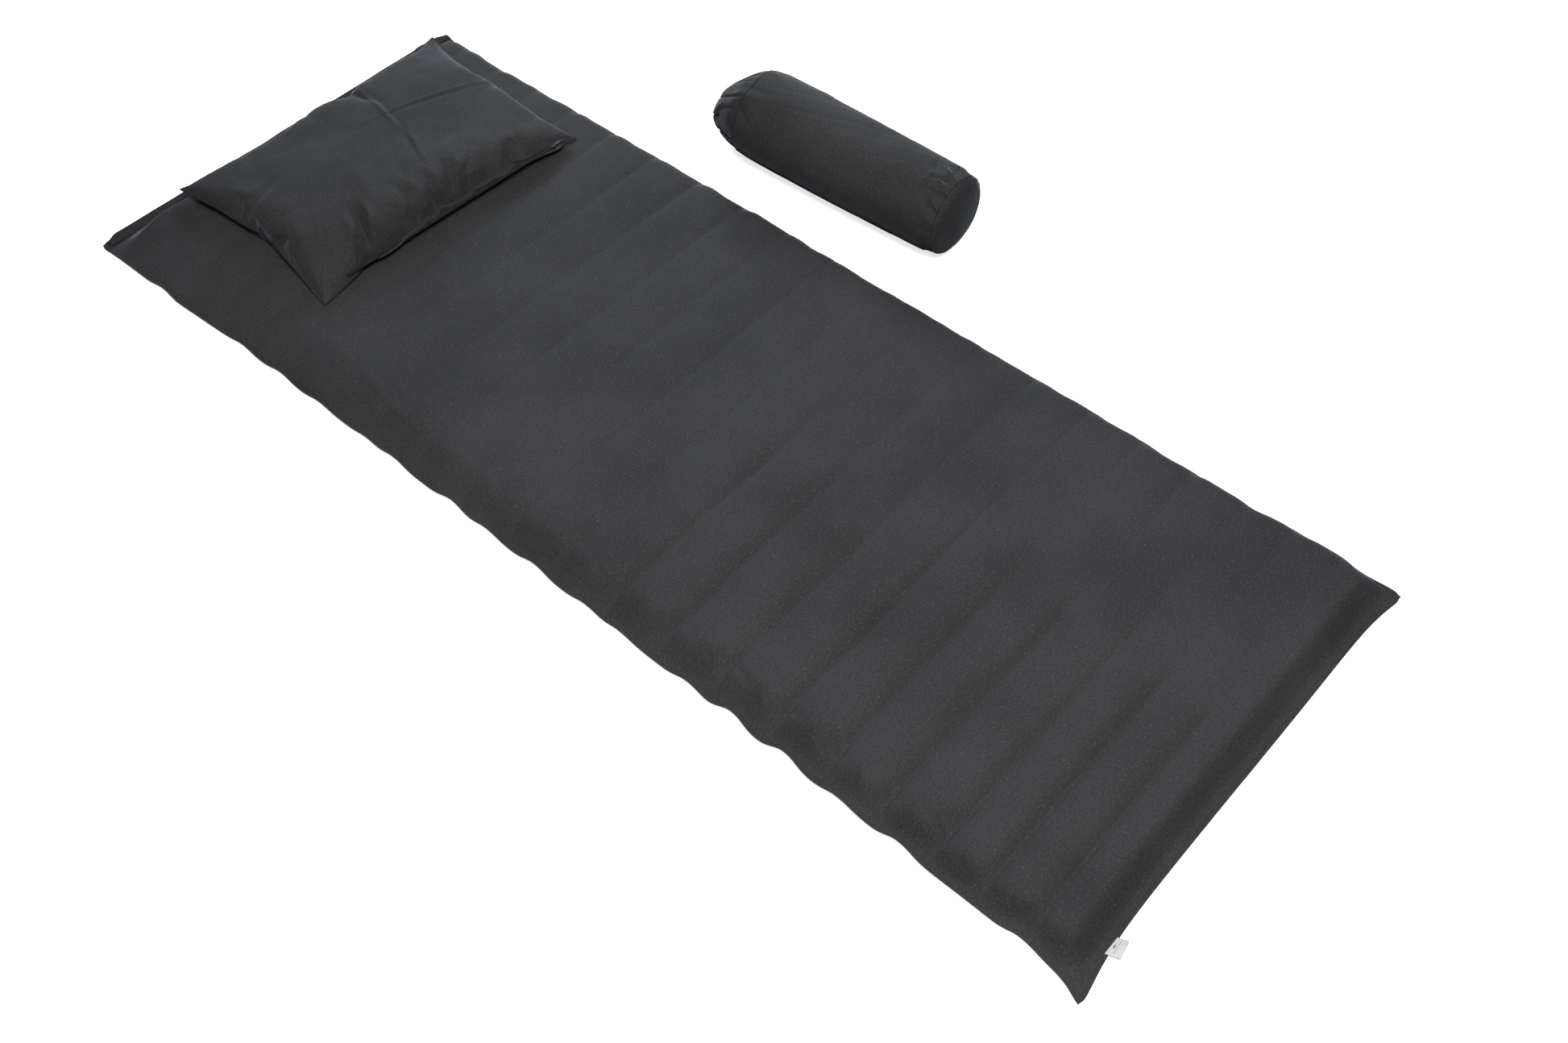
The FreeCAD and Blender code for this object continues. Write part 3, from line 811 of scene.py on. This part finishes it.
def pillow_panels():
    """The two flat panels of the pillow's cover, as grids of points that share their rim."""
    half_x, half_y = PILLOW_FLAT
    x, y = spaced(-half_x, half_x, PILLOW_STEP), spaced(-half_y, half_y, PILLOW_STEP)
    gy, gx = np.meshgrid(y, x, indexing="ij")
    crown = 12 * MM * (1 - (gx / half_x) ** 4) * (1 - (gy / half_y) ** 4)
    drift = 1.5 * MM * smooth_noise(71, gx * 14, gy * 14) * crown / crown.max()
    return np.stack([gx, gy, crown + drift], -1), np.stack([gx, gy, drift - crown], -1)


def sewn(top, bottom):
    """Two grids of points joined at their rim: points, faces, rim, and which points are the upper panel's."""
    rows, columns = top.shape[:2]
    count = rows * columns
    inside = np.zeros((rows, columns), bool)
    inside[1:-1, 1:-1] = True
    number = np.concatenate([np.arange(count), np.arange(count)])
    number[count:][inside.ravel()] = count + np.arange(inside.sum())
    quads = [grid_faces(rows, columns), grid_faces(rows, columns, start=count, flip=True)]
    points = np.concatenate([top.reshape(-1, 3), bottom[1:-1, 1:-1].reshape(-1, 3)])
    return points, number[np.concatenate(quads)], rim_of(rows, columns), np.arange(len(points)) < count


def refined(grid):
    """A grid of points with one more in the middle of each gap, on a smooth curve through its neighbours."""
    for axis in (0, 1):
        line = np.moveaxis(grid, axis, 0)
        longer = np.concatenate([2 * line[:1] - line[1:2], line, 2 * line[-1:] - line[-2:-1]])
        full = np.empty((2 * len(line) - 1, *line.shape[1:]))
        full[::2] = line
        full[1::2] = (9 * (longer[1:-2] + longer[2:-1]) - longer[:-3] - longer[3:]) / 16
        grid = np.moveaxis(full, 0, axis)
    return grid


def pillow_frame():
    """The CAD pillow's middle, run, way across, half sizes, and its seam's, top's and bottom's levels."""
    low, high = node_span("pillow_cover_top")
    run = long_axis("pillow_zip_tape")[1]
    across = np.cross((0, 0, 1), run)
    points = node_points("pillow_cover_top")
    half = np.ptp(points @ run) / 2, np.ptp(points @ across) / 2
    return (low + high) / 2, run, across, half, low[2], high[2], node_span("pillow_cover_underside")[0][2]


def pillow_outline(points, rim):
    """The blown-up bag's points as shares of its length and depth, with most of its seams' bow taken out."""
    reach = np.abs(points).max(0)
    p, q = points[:, 0] / reach[0], points[:, 1] / reach[1]
    # the filling is slack, so the seams bow in less than a full bag's would
    bow_q = np.mean((1 - np.abs(q[rim]))[np.abs(p[rim]) < 0.6])
    bow_p = np.mean((1 - np.abs(p[rim]))[np.abs(q[rim]) < 0.5])
    p = p / (1 - 0.75 * bow_p * (1 - q**2)) * (1 - np.where(p < 0, 0.055, 0.075) * (1 - q**2))
    rim_q = q / (1 - 0.95 * bow_q * (1 - p**2))
    return p, rim_q * (1 - np.where(rim_q > 0, 0.115, 0.075) * (1 - p**4)), rim_q


def pillow_shape(points, rim, is_top):
    """Puts the blown-up bag in the pillow's place: corners, crown, flat underside, creases and seam dents."""
    middle, run, across, (half_x, half_y), seam, top, bottom = pillow_frame()
    p, q, rim_q = pillow_outline(points, rim)
    shift = np.zeros((len(points), 3))
    for (cp, cq), offset in PILLOW_CORNERS.items():
        share = (1 + cp * p) * (1 + cq * q) / 4
        shift[:, :2] += share[:, None] * np.array(offset[:2]) * MM
        far = np.hypot((p - cp) * half_x, (q - cq) * half_y)
        shift[:, 2] += offset[2] * MM * np.exp(-((far / 0.085) ** 1.5))
    flat = middle[:2] + np.outer(p * half_x + shift[:, 0], run[:2])
    flat = flat + np.outer(q * half_y + shift[:, 1], across[:2])

    height = points[:, 2]
    full = np.abs(height) / np.abs(height).max()
    over, under = (top - seam) * (1 - (1 - full) ** 1.3), (bottom - seam) * (1 - (1 - full) ** 3.2)
    z = np.where(height >= 0, over, under)
    # the filling has slid forward, so the cushion is thinner towards its head-side seam
    z = z * (1 - 0.36 * fade((q + 0.15) / 1.1) * (height >= 0))
    inner = np.clip(full * 6, 0, 1)
    x, y = flat[:, 0], flat[:, 1]
    lumps = 2.2 * MM * smooth_noise(72, x * 11, y * 11) + 0.5 * MM * smooth_noise(73, x * 40, y * 40)
    z = z + is_top * inner * (lumps + crease_height(x, y, PILLOW_CREASES))
    for dents, side, reach, sink in ((FRONT_DENTS, -1, 22 * MM, 0.5), (BACK_DENTS, 1, 30 * MM, 0.4)):
        near_seam = np.exp(-np.clip(1 - side * rim_q, 0, 2) * half_y / reach)
        for at, width, depth in dents:
            dent = depth * MM * bell(p - at, width * MM / half_x) * near_seam
            flat = flat - side * np.outer(dent, across[:2])
            z = z - is_top * sink * dent * inner
    rest = bottom + 0.2 * MM
    return np.column_stack([flat, np.maximum(seam + z + shift[:, 2], rest + 1.5 * MM * (1 - inner) * is_top)])


CORD_SIDES = 8


def cord(name, path, out, up, radius, run, layer, flip=False):
    """A thin cord of cloth along a closed path. out and up are its section's axes, run the length so far."""
    turn = np.linspace(0, 2 * math.pi, CORD_SIDES, endpoint=False)
    section = np.cos(turn)[None, :, None] * out[:, None] + np.sin(turn)[None, :, None] * up[:, None]
    points = path[:, None] + radius * section
    points[..., 2] = np.maximum(points[..., 2], 0.1 * MM)
    here = np.arange(len(path) * CORD_SIDES).reshape(len(path), CORD_SIDES)
    faces = ring_faces(here, np.roll(here, -1, 0), flip)
    place = np.stack(np.broadcast_arrays(run[:, None], turn[None, :] * radius, layer), -1)
    return mesh_from(name, points.reshape(-1, 3), faces, place.reshape(-1, 3))


def pillow_seam(path, cloth):
    """Flat piping along the pillow's seam."""
    ahead = np.roll(path, -1, 0) - np.roll(path, 1, 0)
    ahead /= np.linalg.norm(ahead, axis=1)[:, None]
    out = np.cross(ahead, (0, 0, 1))
    out /= np.linalg.norm(out, axis=1)[:, None]
    run = np.concatenate([[0], np.cumsum(np.linalg.norm(np.diff(path, axis=0), axis=1))])
    mesh = cord("pillow_seam", path, out * 1.3, np.cross(out, ahead) * 0.8, 1.3 * MM, run, 0.81, flip=True)
    dressed("pillow_seam", mesh, cloth, "pillow")


def pillow(cloth, darkened_seam_cloth):
    """Cover, piping and zip lip of the pillow."""
    top, bottom = pillow_panels()
    points, faces, *_ = sewn(top, bottom)
    blown = inflate(points, faces, pressure=4, frames=17)
    rows, columns = top.shape[:2]
    blown_top = blown[:rows * columns].reshape(rows, columns, 3)
    blown_bottom = blown_top.copy()
    blown_bottom[1:-1, 1:-1] = blown[rows * columns:].reshape(rows - 2, columns - 2, 3)
    blown, faces, rim, is_top = sewn(refined(blown_top), refined(blown_bottom))
    flat = sewn(refined(top), refined(bottom))[0]
    flat_place = np.column_stack([flat[:, 0] + 2.0, flat[:, 1], np.where(is_top, 0, UNDER_SHIFT)])
    placed = pillow_shape(blown, rim, is_top)
    mesh = mesh_from("pillow_cover", placed, faces, flat_place)
    item = dressed("pillow_cover", mesh, cloth, "pillow")
    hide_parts("pillow_cover_top", "pillow_cover_underside", "pillow_inner_bag", "pillow_filling")
    # the piping is dressed in the darker copy of the twill: painted shade over its highlight
    pillow_seam(placed[rim], darkened_seam_cloth)
    pillow_flap(placed[:2 * columns - 1], cloth)


# Share of the way out and lift in millimetres at each line of the lip of cloth that covers the pillow's zip
PILLOW_FLAP = ((-0.4, 0.8), (0.0, 1.8), (0.45, 2.6), (0.85, 2.6), (1.0, 2.1))


def pillow_flap(front, cloth):
    """The lip of cloth that covers the zip along the pillow's front seam."""
    _, _, across, *_ = pillow_frame()
    line = front[round(0.17 * len(front)):-8]
    share = np.linspace(0, 1, len(line))
    width = 7.0 * MM * fade(share / 0.05) * fade((1 - share) / 0.05) + 0.6 * MM
    wave = smooth_noise(81, share * 21, 0.3)
    rows = []
    for out, lift in PILLOW_FLAP:
        edge = line - np.outer(width * out, across)
        edge[:, 2] += (lift + 0.5 * wave * out) * MM
        rows.append(edge)
    lip_strip("pillow_zip_flap", np.stack(rows, 1), cloth, "pillow")


# ---------------------------------------------------------------- bolster

AROUND = 216                      # points round the bolster
SEAM_RING = 0.45                  # length of the round seams' piping
DISC_BULGE = 13 * MM
CONE_NARROWING = 0.52             # share of the radius lost between the head-side seam and the crumpled tip
DROOP = 20 * MM                   # how far the closed end hangs down
SOFTENED = 6 * MM                 # height over which the cloth settles onto the floor
FLOOR_GAP = 0.4 * MM
# Wrinkles on the bolster: angle round it from straight up, place along it, heading, length, width and height
BOLSTER_CREASES = (
    (-18, -170, 66, 40, 3, 5.0), (-9, -164, 112, 36, 3.2, -5.5), (3, -170, 75, 38, 3, 4.6),
    (13, -162, 56, 34, 3.2, -5.0), (-29, -168, 98, 38, 3.2, -5.6), (-39, -168, 60, 30, 3, 3.6),
    (27, -170, 96, 34, 3.2, 3.4), (-50, -174, 78, 26, 3.4, -2.6), (-20, -142, 12, 30, 4.4, 3.6),
    (6, -138, 32, 34, 5, -3.6), (-64, -174, 70, 24, 5, 1.6), (-80, -176, 95, 22, 4.4, -1.6),
    (-20, 182, 100, 60, 9, -2.6), (15, 178, 75, 60, 9, 2.4), (-50, 186, 60, 44, 7, -2.6),
    (50, 182, 110, 50, 8, 2.0), (-35, 60, 20, 120, 16, 1.2), (10, -40, -15, 150, 18, -1.3),
    (-70, -90, 10, 120, 14, 1.2), (40, 100, 12, 120, 16, 1.0),
)


def bolster_frame():
    """The CAD bolster's centre, run, side and radius, and where along it its two seams and closed tip lie."""
    low, high = node_span("bolster_cover_tube")
    along = long_axis("bolster_zip_tape")[1] * (1, 1, 0)
    along /= np.linalg.norm(along)
    side = np.cross(along, (0, 0, 1))
    points = node_points("bolster_cover_tube")
    radius = np.ptp(points @ side) / 2
    centre = np.append(((low + high) / 2)[:2], high[2] - radius)
    run = points @ along - centre @ along
    tip = (node_points("bolster_head_disc") @ along).max() - centre @ along
    # the cloth's seams sit a little inside the CAD tube's, and its crumpled end reaches further
    return centre, along, side, radius, run.min() + 10 * MM, run.max() - 2 * MM, tip + 33 * MM


def bolster_rings(start, end, tip):
    """Rings of cloth as places along it and shares of its radius, and the numbers of the two seams' rings."""
    puckered_end = start + 56 * MM
    body = np.concatenate([spaced(start, puckered_end, 2.2 * MM)[:-1], spaced(puckered_end, end, 3.6 * MM)])
    disc = [(start - DISC_BULGE * math.sqrt(1 - r**2.2), r) for r in np.linspace(0.03, 0.985, 26)]
    cone = [(end + (tip - end) * t, 1 - CONE_NARROWING * t**1.15) for t in np.linspace(0, 1, 20)[1:]]
    last = 1 - CONE_NARROWING
    closing = [(tip - 8 * MM * (1 - r / last) ** 1.2, r) for r in np.linspace(last, 0.02, 12)[1:]]
    rings = np.array(disc + [(s, 1.0) for s in body] + cone + closing)
    return rings[:, :1], rings[:, 1:], (len(disc), len(disc) + len(body) - 1)


def bolster_relief(s, angle, degrees, radius, start, end):
    """How far the tube's cloth stands proud: drawn in at the seams, puckered beside them, then wrinkled."""
    ring = fading(s, start, 3 * MM) + fading(s, end, 3 * MM)
    shoulder = np.exp(-np.clip(s - start, 0, 9) / (16 * MM)) + np.exp(-np.clip(end - s, 0, 9) / (16 * MM))
    on_body = (s >= start) & (s <= end)
    height = -0.5 * MM * ring - 3.4 * MM * np.where(on_body, shoulder, 1)
    height += 2.5 * MM * (s - (start + end) / 2) / ((end - start) / 2) - 2.0 * MM * (s < start + 20 * MM)
    per_degree = math.radians(1) * radius / MM
    creases = [(turn * per_degree, *rest) for turn, *rest in BOLSTER_CREASES]
    height += crease_height(np.radians(degrees) * radius, s, creases)
    height += 1.3 * MM * smooth_noise(91, np.cos(angle) * 2.2 + 5, s * 11 + np.sin(angle) * 2.2)
    height += 0.35 * MM * smooth_noise(92, np.cos(angle) * 9 + 5, s * 45 + np.sin(angle) * 9)
    by_seam = fading(s, start, 12 * MM) * (s >= start) + fading(s, end, 16 * MM) * (s <= end)
    return height + 0.9 * MM * by_seam * smooth_noise(93, degrees / 7.5, 0.5)


def bolster_shape():
    """Rings of points, their places on the flat cloth, the run, and each seam's ring number and middle."""
    centre, along, side, radius, start, end, tip = bolster_frame()
    s, r, seams = bolster_rings(start, end, tip)
    s, r, angle = np.broadcast_arrays(s, r, np.linspace(0, 2 * math.pi, AROUND, endpoint=False)[None, :])
    degrees = np.degrees((angle + math.pi) % (2 * math.pi) - math.pi)
    away = r * radius + bolster_relief(s, angle, degrees, radius, start, end) * np.clip(r * 1.4, 0, 1)

    # the head-side end is crumpled: folds run in towards its tip
    in_cap = fade((s - end) / (tip - end) * 3) * (s > end)
    pleat = fading(smooth_noise(95, degrees / 22 + 3, r * 2.4), 0, 0.10)
    folds = smooth_noise(94, degrees / 30, r * 1.6) - 1.1 * pleat
    away = away + 6.5 * MM * in_cap * (folds + 0.20) * np.clip(r * 1.6, 0, 1)
    sunk = np.abs(smooth_noise(96, np.cos(angle) * r * 3 + 2, np.sin(angle) * r * 3))
    # the foot-side disc has a stitched ring inside its rim and soft dents
    stitched = 1.3 * fading(r, 0.86, 2.2 * MM / radius) - 0.9 * fading(r, 0.90, 1.6 * MM / radius)
    dents = smooth_noise(97, np.cos(angle) * r * 2, np.sin(angle) * r * 2)
    on_disc = (s < start) & (r < 0.99)
    s = s - 4.0 * MM * in_cap * sunk - on_disc * (stitched + dents) * MM

    # its own weight flattens the lower half, the closed end droops, and the cloth settles onto the floor
    away = away * (1 - 0.085 * np.clip(-np.cos(angle), 0, 1))
    points = centre + s[..., None] * along + (away * np.sin(angle))[..., None] * side
    points[..., 2] += away * np.cos(angle)
    points[..., 2] -= DROOP * np.clip((s - end) / (tip - end), 0, 1) ** 1.2
    above = points[..., 2] - FLOOR_GAP - SOFTENED
    settled = SOFTENED * np.exp(np.minimum(above, 0) / SOFTENED) - SOFTENED
    points[..., 2] += np.where(above < 0, settled - above, 0)

    run = np.concatenate([[0], np.cumsum(np.hypot(np.diff(s[:, 0]), np.diff(r[:, 0] * radius)))])
    tube_place = np.stack(np.broadcast_arrays(np.radians(degrees) * radius + 6.0, run[:, None], 0.0), -1)
    disc_place = np.stack([np.sin(angle) * r * radius + 8, np.cos(angle) * r * radius, 0 * r], -1)
    flat_end = (s < start) | (s > end + 0.45 * (tip - end))
    place = np.where(flat_end[..., None], disc_place, tube_place)
    middles = [centre + along * s[ring].mean() for ring in seams]
    return points, place, along, list(zip(seams, middles))


def bolster(cloth, darkened_seam_cloth):
    """Cover of the bolster, and the piping in the seam at each end of its tube."""
    points, place, along, seams = bolster_shape()
    number = np.arange(points[..., 0].size).reshape(-1, AROUND)
    faces = ring_faces(number[:-1], number[1:]).tolist()
    all_points, all_place = [grid.reshape(-1, 3) for grid in (points, place)]
    for ring in (number[0][::-1], number[-1]):        # a fan of triangles closes each end
        faces += [(a, b, len(all_points)) for a, b in zip(ring.tolist(), np.roll(ring, -1).tolist())]
        all_points = np.vstack([all_points, all_points[ring].mean(0)])
        all_place = np.vstack([all_place, all_place[ring].mean(0)])
    mesh = mesh_from("bolster_cover", all_points, faces, all_place)
    turn_outwards(mesh)
    item = dressed("bolster_cover", mesh, cloth, "bolster")
    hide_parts("bolster_cover_tube", "bolster_foot_disc", "bolster_head_disc", "bolster_inner_bag",
                "bolster_filling")
    for name, (ring, middle) in zip(("bolster_foot_seam", "bolster_head_seam"), seams):
        path = points[ring]
        out = path - middle
        out -= np.outer(out @ along, along)
        out /= np.linalg.norm(out, axis=1)[:, None]
        axis, run = np.broadcast_to(along, out.shape), np.linspace(0, SEAM_RING, AROUND)
        piping = cord(name, path, out, axis, 1.0 * MM, run, 0.9)
        # the piping is dressed in the darker copy of the twill: painted shade over its highlight
        dressed(name, piping, darkened_seam_cloth, "bolster")


# ---------------------------------------------------------------- zips and label


def zip_axes(prefix):
    """A zip's middle and its axes: its run, out from the seam, and its face, towards the pull."""
    middle, run = long_axis(f"{prefix}_tape")
    teeth, pull, slider = (sum(node_span(f"{prefix}_{part}")) / 2 for part in ("teeth", "pull", "slider"))
    out = teeth - middle
    out -= out @ run * run
    out /= np.linalg.norm(out)
    face = np.cross(run, out)
    return middle, np.array([run, out, face * np.sign(face @ (pull - slider))])


def local_span(name, middle, axes):
    """The corners of a node's box in a zip's own axes."""
    local = (node_points(name) - middle) @ axes.T
    return local.min(0), local.max(0)


def zip_piece(name, node_name, edit, middle, axes, finish, bevel):
    """A piece made in the zip's own axes, standing for one of its CAD nodes."""
    bmesh.ops.recalc_face_normals(edit, faces=edit.faces)
    points = np.array([tuple(v.co) for v in edit.verts])
    mesh = bpy.data.meshes.new(name)
    edit.to_mesh(mesh)
    edit.free()
    set_cloth_place(mesh, points)
    mesh.vertices.foreach_set("co", (middle + points @ axes).ravel())
    if np.linalg.det(axes) < 0:
        mesh.flip_normals()
    mesh.update()
    item = dressed(name, mesh, finish, frame["nodes"][node_name]["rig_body"])
    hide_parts(node_name)
    if bevel:
        modified(item, "BEVEL", width=bevel, segments=2, limit_method="ANGLE")


def add_block(edit, low, high, top_inset=(0, 0)):
    """A block between two corners, its top drawn in along the run and outwards."""
    (x0, y0, z0), (x1, y1, z1) = low, high
    dx, dy = top_inset
    bottom = [edit.verts.new(c) for c in ((x0, y0, z0), (x1, y0, z0), (x1, y1, z0), (x0, y1, z0))]
    top = [edit.verts.new(c) for c in ((x0 + dx, y0 + dy, z1), (x1 - dx, y0 + dy, z1), (x1 - dx, y1 - dy, z1),
                                       (x0 + dx, y1 - dy, z1))]
    edit.faces.new(bottom[::-1])
    edit.faces.new(top)
    for k in range(4):
        edit.faces.new((bottom[k], bottom[(k + 1) % 4], top[(k + 1) % 4], top[k]))


def add_plate(edit, outline, low, high, hole=None):
    """A flat plate with a given outline, and perhaps a hole, between two levels."""
    loops = [outline] if hole is None else [outline, hole]
    levels = [[[edit.verts.new((x, y, z)) for x, y in loop] for loop in loops] for z in (low, high)]
    for floor_loop, top_loop in zip(*levels):
        for k in range(len(floor_loop)):
            after = (k + 1) % len(floor_loop)
            edit.faces.new((floor_loop[k], floor_loop[after], top_loop[after], top_loop[k]))
    for level in levels:
        if hole is None:
            edit.faces.new(level[0])
        else:
            outer, inner = level
            for k in range(len(outer)):
                after = (k + 1) % len(outer)
                edit.faces.new((outer[k], outer[after], inner[after], inner[k]))


def rounded_outline(x0, x1, y0, y1, radius, steps=6):
    corners = ((x1 - radius, y1 - radius, 0), (x0 + radius, y1 - radius, 90), (x0 + radius, y0 + radius, 180),
               (x1 - radius, y0 + radius, 270))
    turn = [math.radians(90 * k / steps) for k in range(steps + 1)]
    return [(cx + radius * math.cos(t + math.radians(start)), cy + radius * math.sin(t + math.radians(start)))
            for cx, cy, start in corners for t in turn]


TOOTH_PITCH = 2.1 * MM
TOOTH_HALF = 0.72 * MM            # half a tooth's width
TAPE_STEP = 4 * MM


def tape_mesh(low, high, tuck):
    """A woven tape with a corded edge. tuck is how far it reaches in behind the seam."""
    edit = bmesh.new()
    # across the tape: place, and half its thickness in millimetres
    profile = ((low[1] - tuck, 0.25), (low[1], 0.4), (high[1] - 0.8 * MM, 0.4), (high[1] - 0.5 * MM, 0.5),
               (high[1], 0.5))
    sections = []
    for x in np.linspace(low[0], high[0], round((high[0] - low[0]) / TAPE_STEP) + 1):
        lift = 0.06 * MM * math.sin(x * 900)
        upper = [edit.verts.new((x, y, t * MM * 0.98 + lift)) for y, t in profile]
        lower = [edit.verts.new((x, y, -t * MM * 0.98 + lift)) for y, t in profile[::-1]]
        sections.append(upper + lower)
    for here, after in zip(sections, sections[1:]):
        for k in range(len(here)):
            edit.faces.new((here[k], here[(k + 1) % len(here)], after[(k + 1) % len(here)], after[k]))
    edit.faces.new(sections[0])
    edit.faces.new(sections[-1][::-1])
    return edit


def teeth_mesh(low, high):
    """Two rows of small teeth, every second one reaching further in."""
    edit = bmesh.new()
    for k in range(int((high[0] - low[0]) / TOOTH_PITCH)):
        x = low[0] + (k + 0.5) * TOOTH_PITCH
        near, far = (low[1] - 0.5 * MM, high[1] - 0.5 * MM) if k % 2 else (low[1] + 0.1 * MM, high[1])
        for side in (1, -1):
            z = sorted((0.12 * MM * side, high[2] * side))
            add_block(edit, (x - TOOTH_HALF, near, z[0]), (x + TOOTH_HALF, far, z[1]), (0.12 * MM, 0.15 * MM))
    return edit


def slider_mesh(low, high, chain):
    """Two plates with cut corners above and below the teeth, chain high, and the bridge that joins them."""
    edit = bmesh.new()
    gap, nose = chain + 0.2 * MM, 1.6 * MM
    outline = [(low[0], low[1] + 0.7 * MM), (low[0] + 0.8 * MM, low[1]), (high[0] - nose, low[1]),
               (high[0], low[1] + nose), (high[0], high[1] - 0.9 * MM), (high[0] - 0.9 * MM, high[1]),
               (low[0] + 0.6 * MM, high[1]), (low[0], high[1] - 0.6 * MM)]
    for z0, z1 in ((gap, high[2]), (low[2], -gap)):
        add_plate(edit, outline, z0, z1)
    add_block(edit, (low[0] + 0.7 * MM, high[1] - 0.45 * MM, -gap - 0.1 * MM),
              (high[0] - 0.9 * MM, high[1], gap + 0.1 * MM))
    return edit


def pull_mesh(low, high):
    """A flat tab with a slot."""
    edit = bmesh.new()
    outline = rounded_outline(low[0], high[0], low[1], high[1], 1.9 * MM)
    hole = rounded_outline(high[0] - 6.5 * MM, high[0] - 1.4 * MM, low[1] + 1.2 * MM, high[1] - 1.2 * MM,
                           1.05 * MM)
    add_plate(edit, outline, low[2] + 0.05 * MM, high[2] - 0.1 * MM, hole)
    return edit


def zip_set(prefix, finishes, tuck):
    """Tape, teeth, slider and pull."""
    middle, axes = zip_axes(prefix)
    tape_finish, teeth_finish, metal = finishes
    tape, teeth, slider, pull = (local_span(f"{prefix}_{part}", middle, axes)
                                 for part in ("tape", "teeth", "slider", "pull"))
    for part, suffix, edit, finish, slot, bevel in (
        ("tape", "woven", tape_mesh(*tape, tuck), tape_finish, "zip_tape", 0),
        ("teeth", "row", teeth_mesh(*teeth), teeth_finish, "zip_teeth", 0),
        ("slider", "body", slider_mesh(*slider, teeth[1][2]), metal, "zip_metal", 0.25 * MM),
        ("pull", "tab", pull_mesh(*pull), metal, "zip_metal", 0.18 * MM),
    ):
        zip_piece(f"{prefix}_{part}_{suffix}", f"{prefix}_{part}", edit, middle, axes, finish, bevel)


LABEL_TUCK = 5 * MM               # how much of the folded ribbon is sewn into the seam
LABEL_LOOP = 0.45 * MM            # radius of the ribbon's fold
LABEL_LEAN = 5.0 * MM             # how far the ribbon's fold has swung aside


def ribbon_line(reach):
    """The folded ribbon from the side: out along its upper layer, round the fold and back, as (out, up)."""
    layer = np.linspace(0, reach - LABEL_LOOP, 12)
    fold = [(reach - LABEL_LOOP + LABEL_LOOP * math.sin(t), LABEL_LOOP * math.cos(t))
            for t in np.linspace(0.3, math.pi - 0.3, 6)]
    return [(d, LABEL_LOOP) for d in layer] + fold + [(d, -LABEL_LOOP) for d in layer[::-1]]


def label(finish):
    """A ribbon folded double, its cut ends sewn into the foot end's seam."""
    low, high = node_span("side_label")
    width, out = high[0] - low[0], high[1] - low[1]
    middle, level = (low[0] + high[0]) / 2, (low[2] + high[2]) / 2
    reach = out + LABEL_TUCK
    line, across = ribbon_line(reach), np.linspace(-0.5, 0.5, 17)
    points, place = [], []
    for k, (d, z) in enumerate(line):
        share = d / reach
        for a in across:
            curl = 1.6 * MM * share**2 * (1 + 0.9 * a) + 0.5 * MM * math.sin(5 * a + 1) * share
            points.append((middle + a * width * (1 - 0.08 * share) + LABEL_LEAN * share,
                           high[1] + 5.6 * MM - d + a * 4.0 * MM * share, level + z + curl))
            place.append((a * width, d, 0 if k < len(line) // 2 else 0.1))
    mesh = mesh_from("side_label_ribbon", points, grid_faces(len(line), len(across)), place)
    item = dressed("side_label_ribbon", mesh, finish, "foot_section")
    modified(item, "SOLIDIFY", thickness=0.25 * MM, offset=0)
    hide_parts("side_label")


stage()
camera()
black_cloth = cloth_material("black_twill", (0.0132, 0.0135, 0.0145), (0.0464, 0.0472, 0.0504), sheen=0.20)
# painted shade: the piping and the head-side zip lip take a darker, less sheeny copy of the same twill, to
# damp the light that catches on them
darkened_seam_cloth = cloth_material("black_seam_darkened", (0.010, 0.010, 0.011), (0.026, 0.0265, 0.028), sheen=0.10)
mattress_cover(black_cloth)
hide_sections()
head_flap(darkened_seam_cloth)
pillow(black_cloth, darkened_seam_cloth)
bolster(black_cloth, darkened_seam_cloth)
zip_finishes = (
    plain_material("zip_tape", (0.012, 0.012, 0.013), (0.022, 0.022, 0.024), 2600, 0.85, bump=0.6,
                   distance=0.1 * MM, specular=0.2),
    plain_material("zip_teeth", (0.016, 0.016, 0.017), (0.026, 0.026, 0.028), 900, 0.42),
    plain_material("zip_metal", (0.035, 0.035, 0.038), (0.055, 0.055, 0.058), 700, 0.55, metallic=0.4,
                   specular=0.3),
)
for zip_name, tuck in (("mattress_zip", 3 * MM), ("pillow_zip", 14 * MM), ("bolster_zip", 3 * MM)):
    zip_set(zip_name, zip_finishes, tuck)
label(label_material())
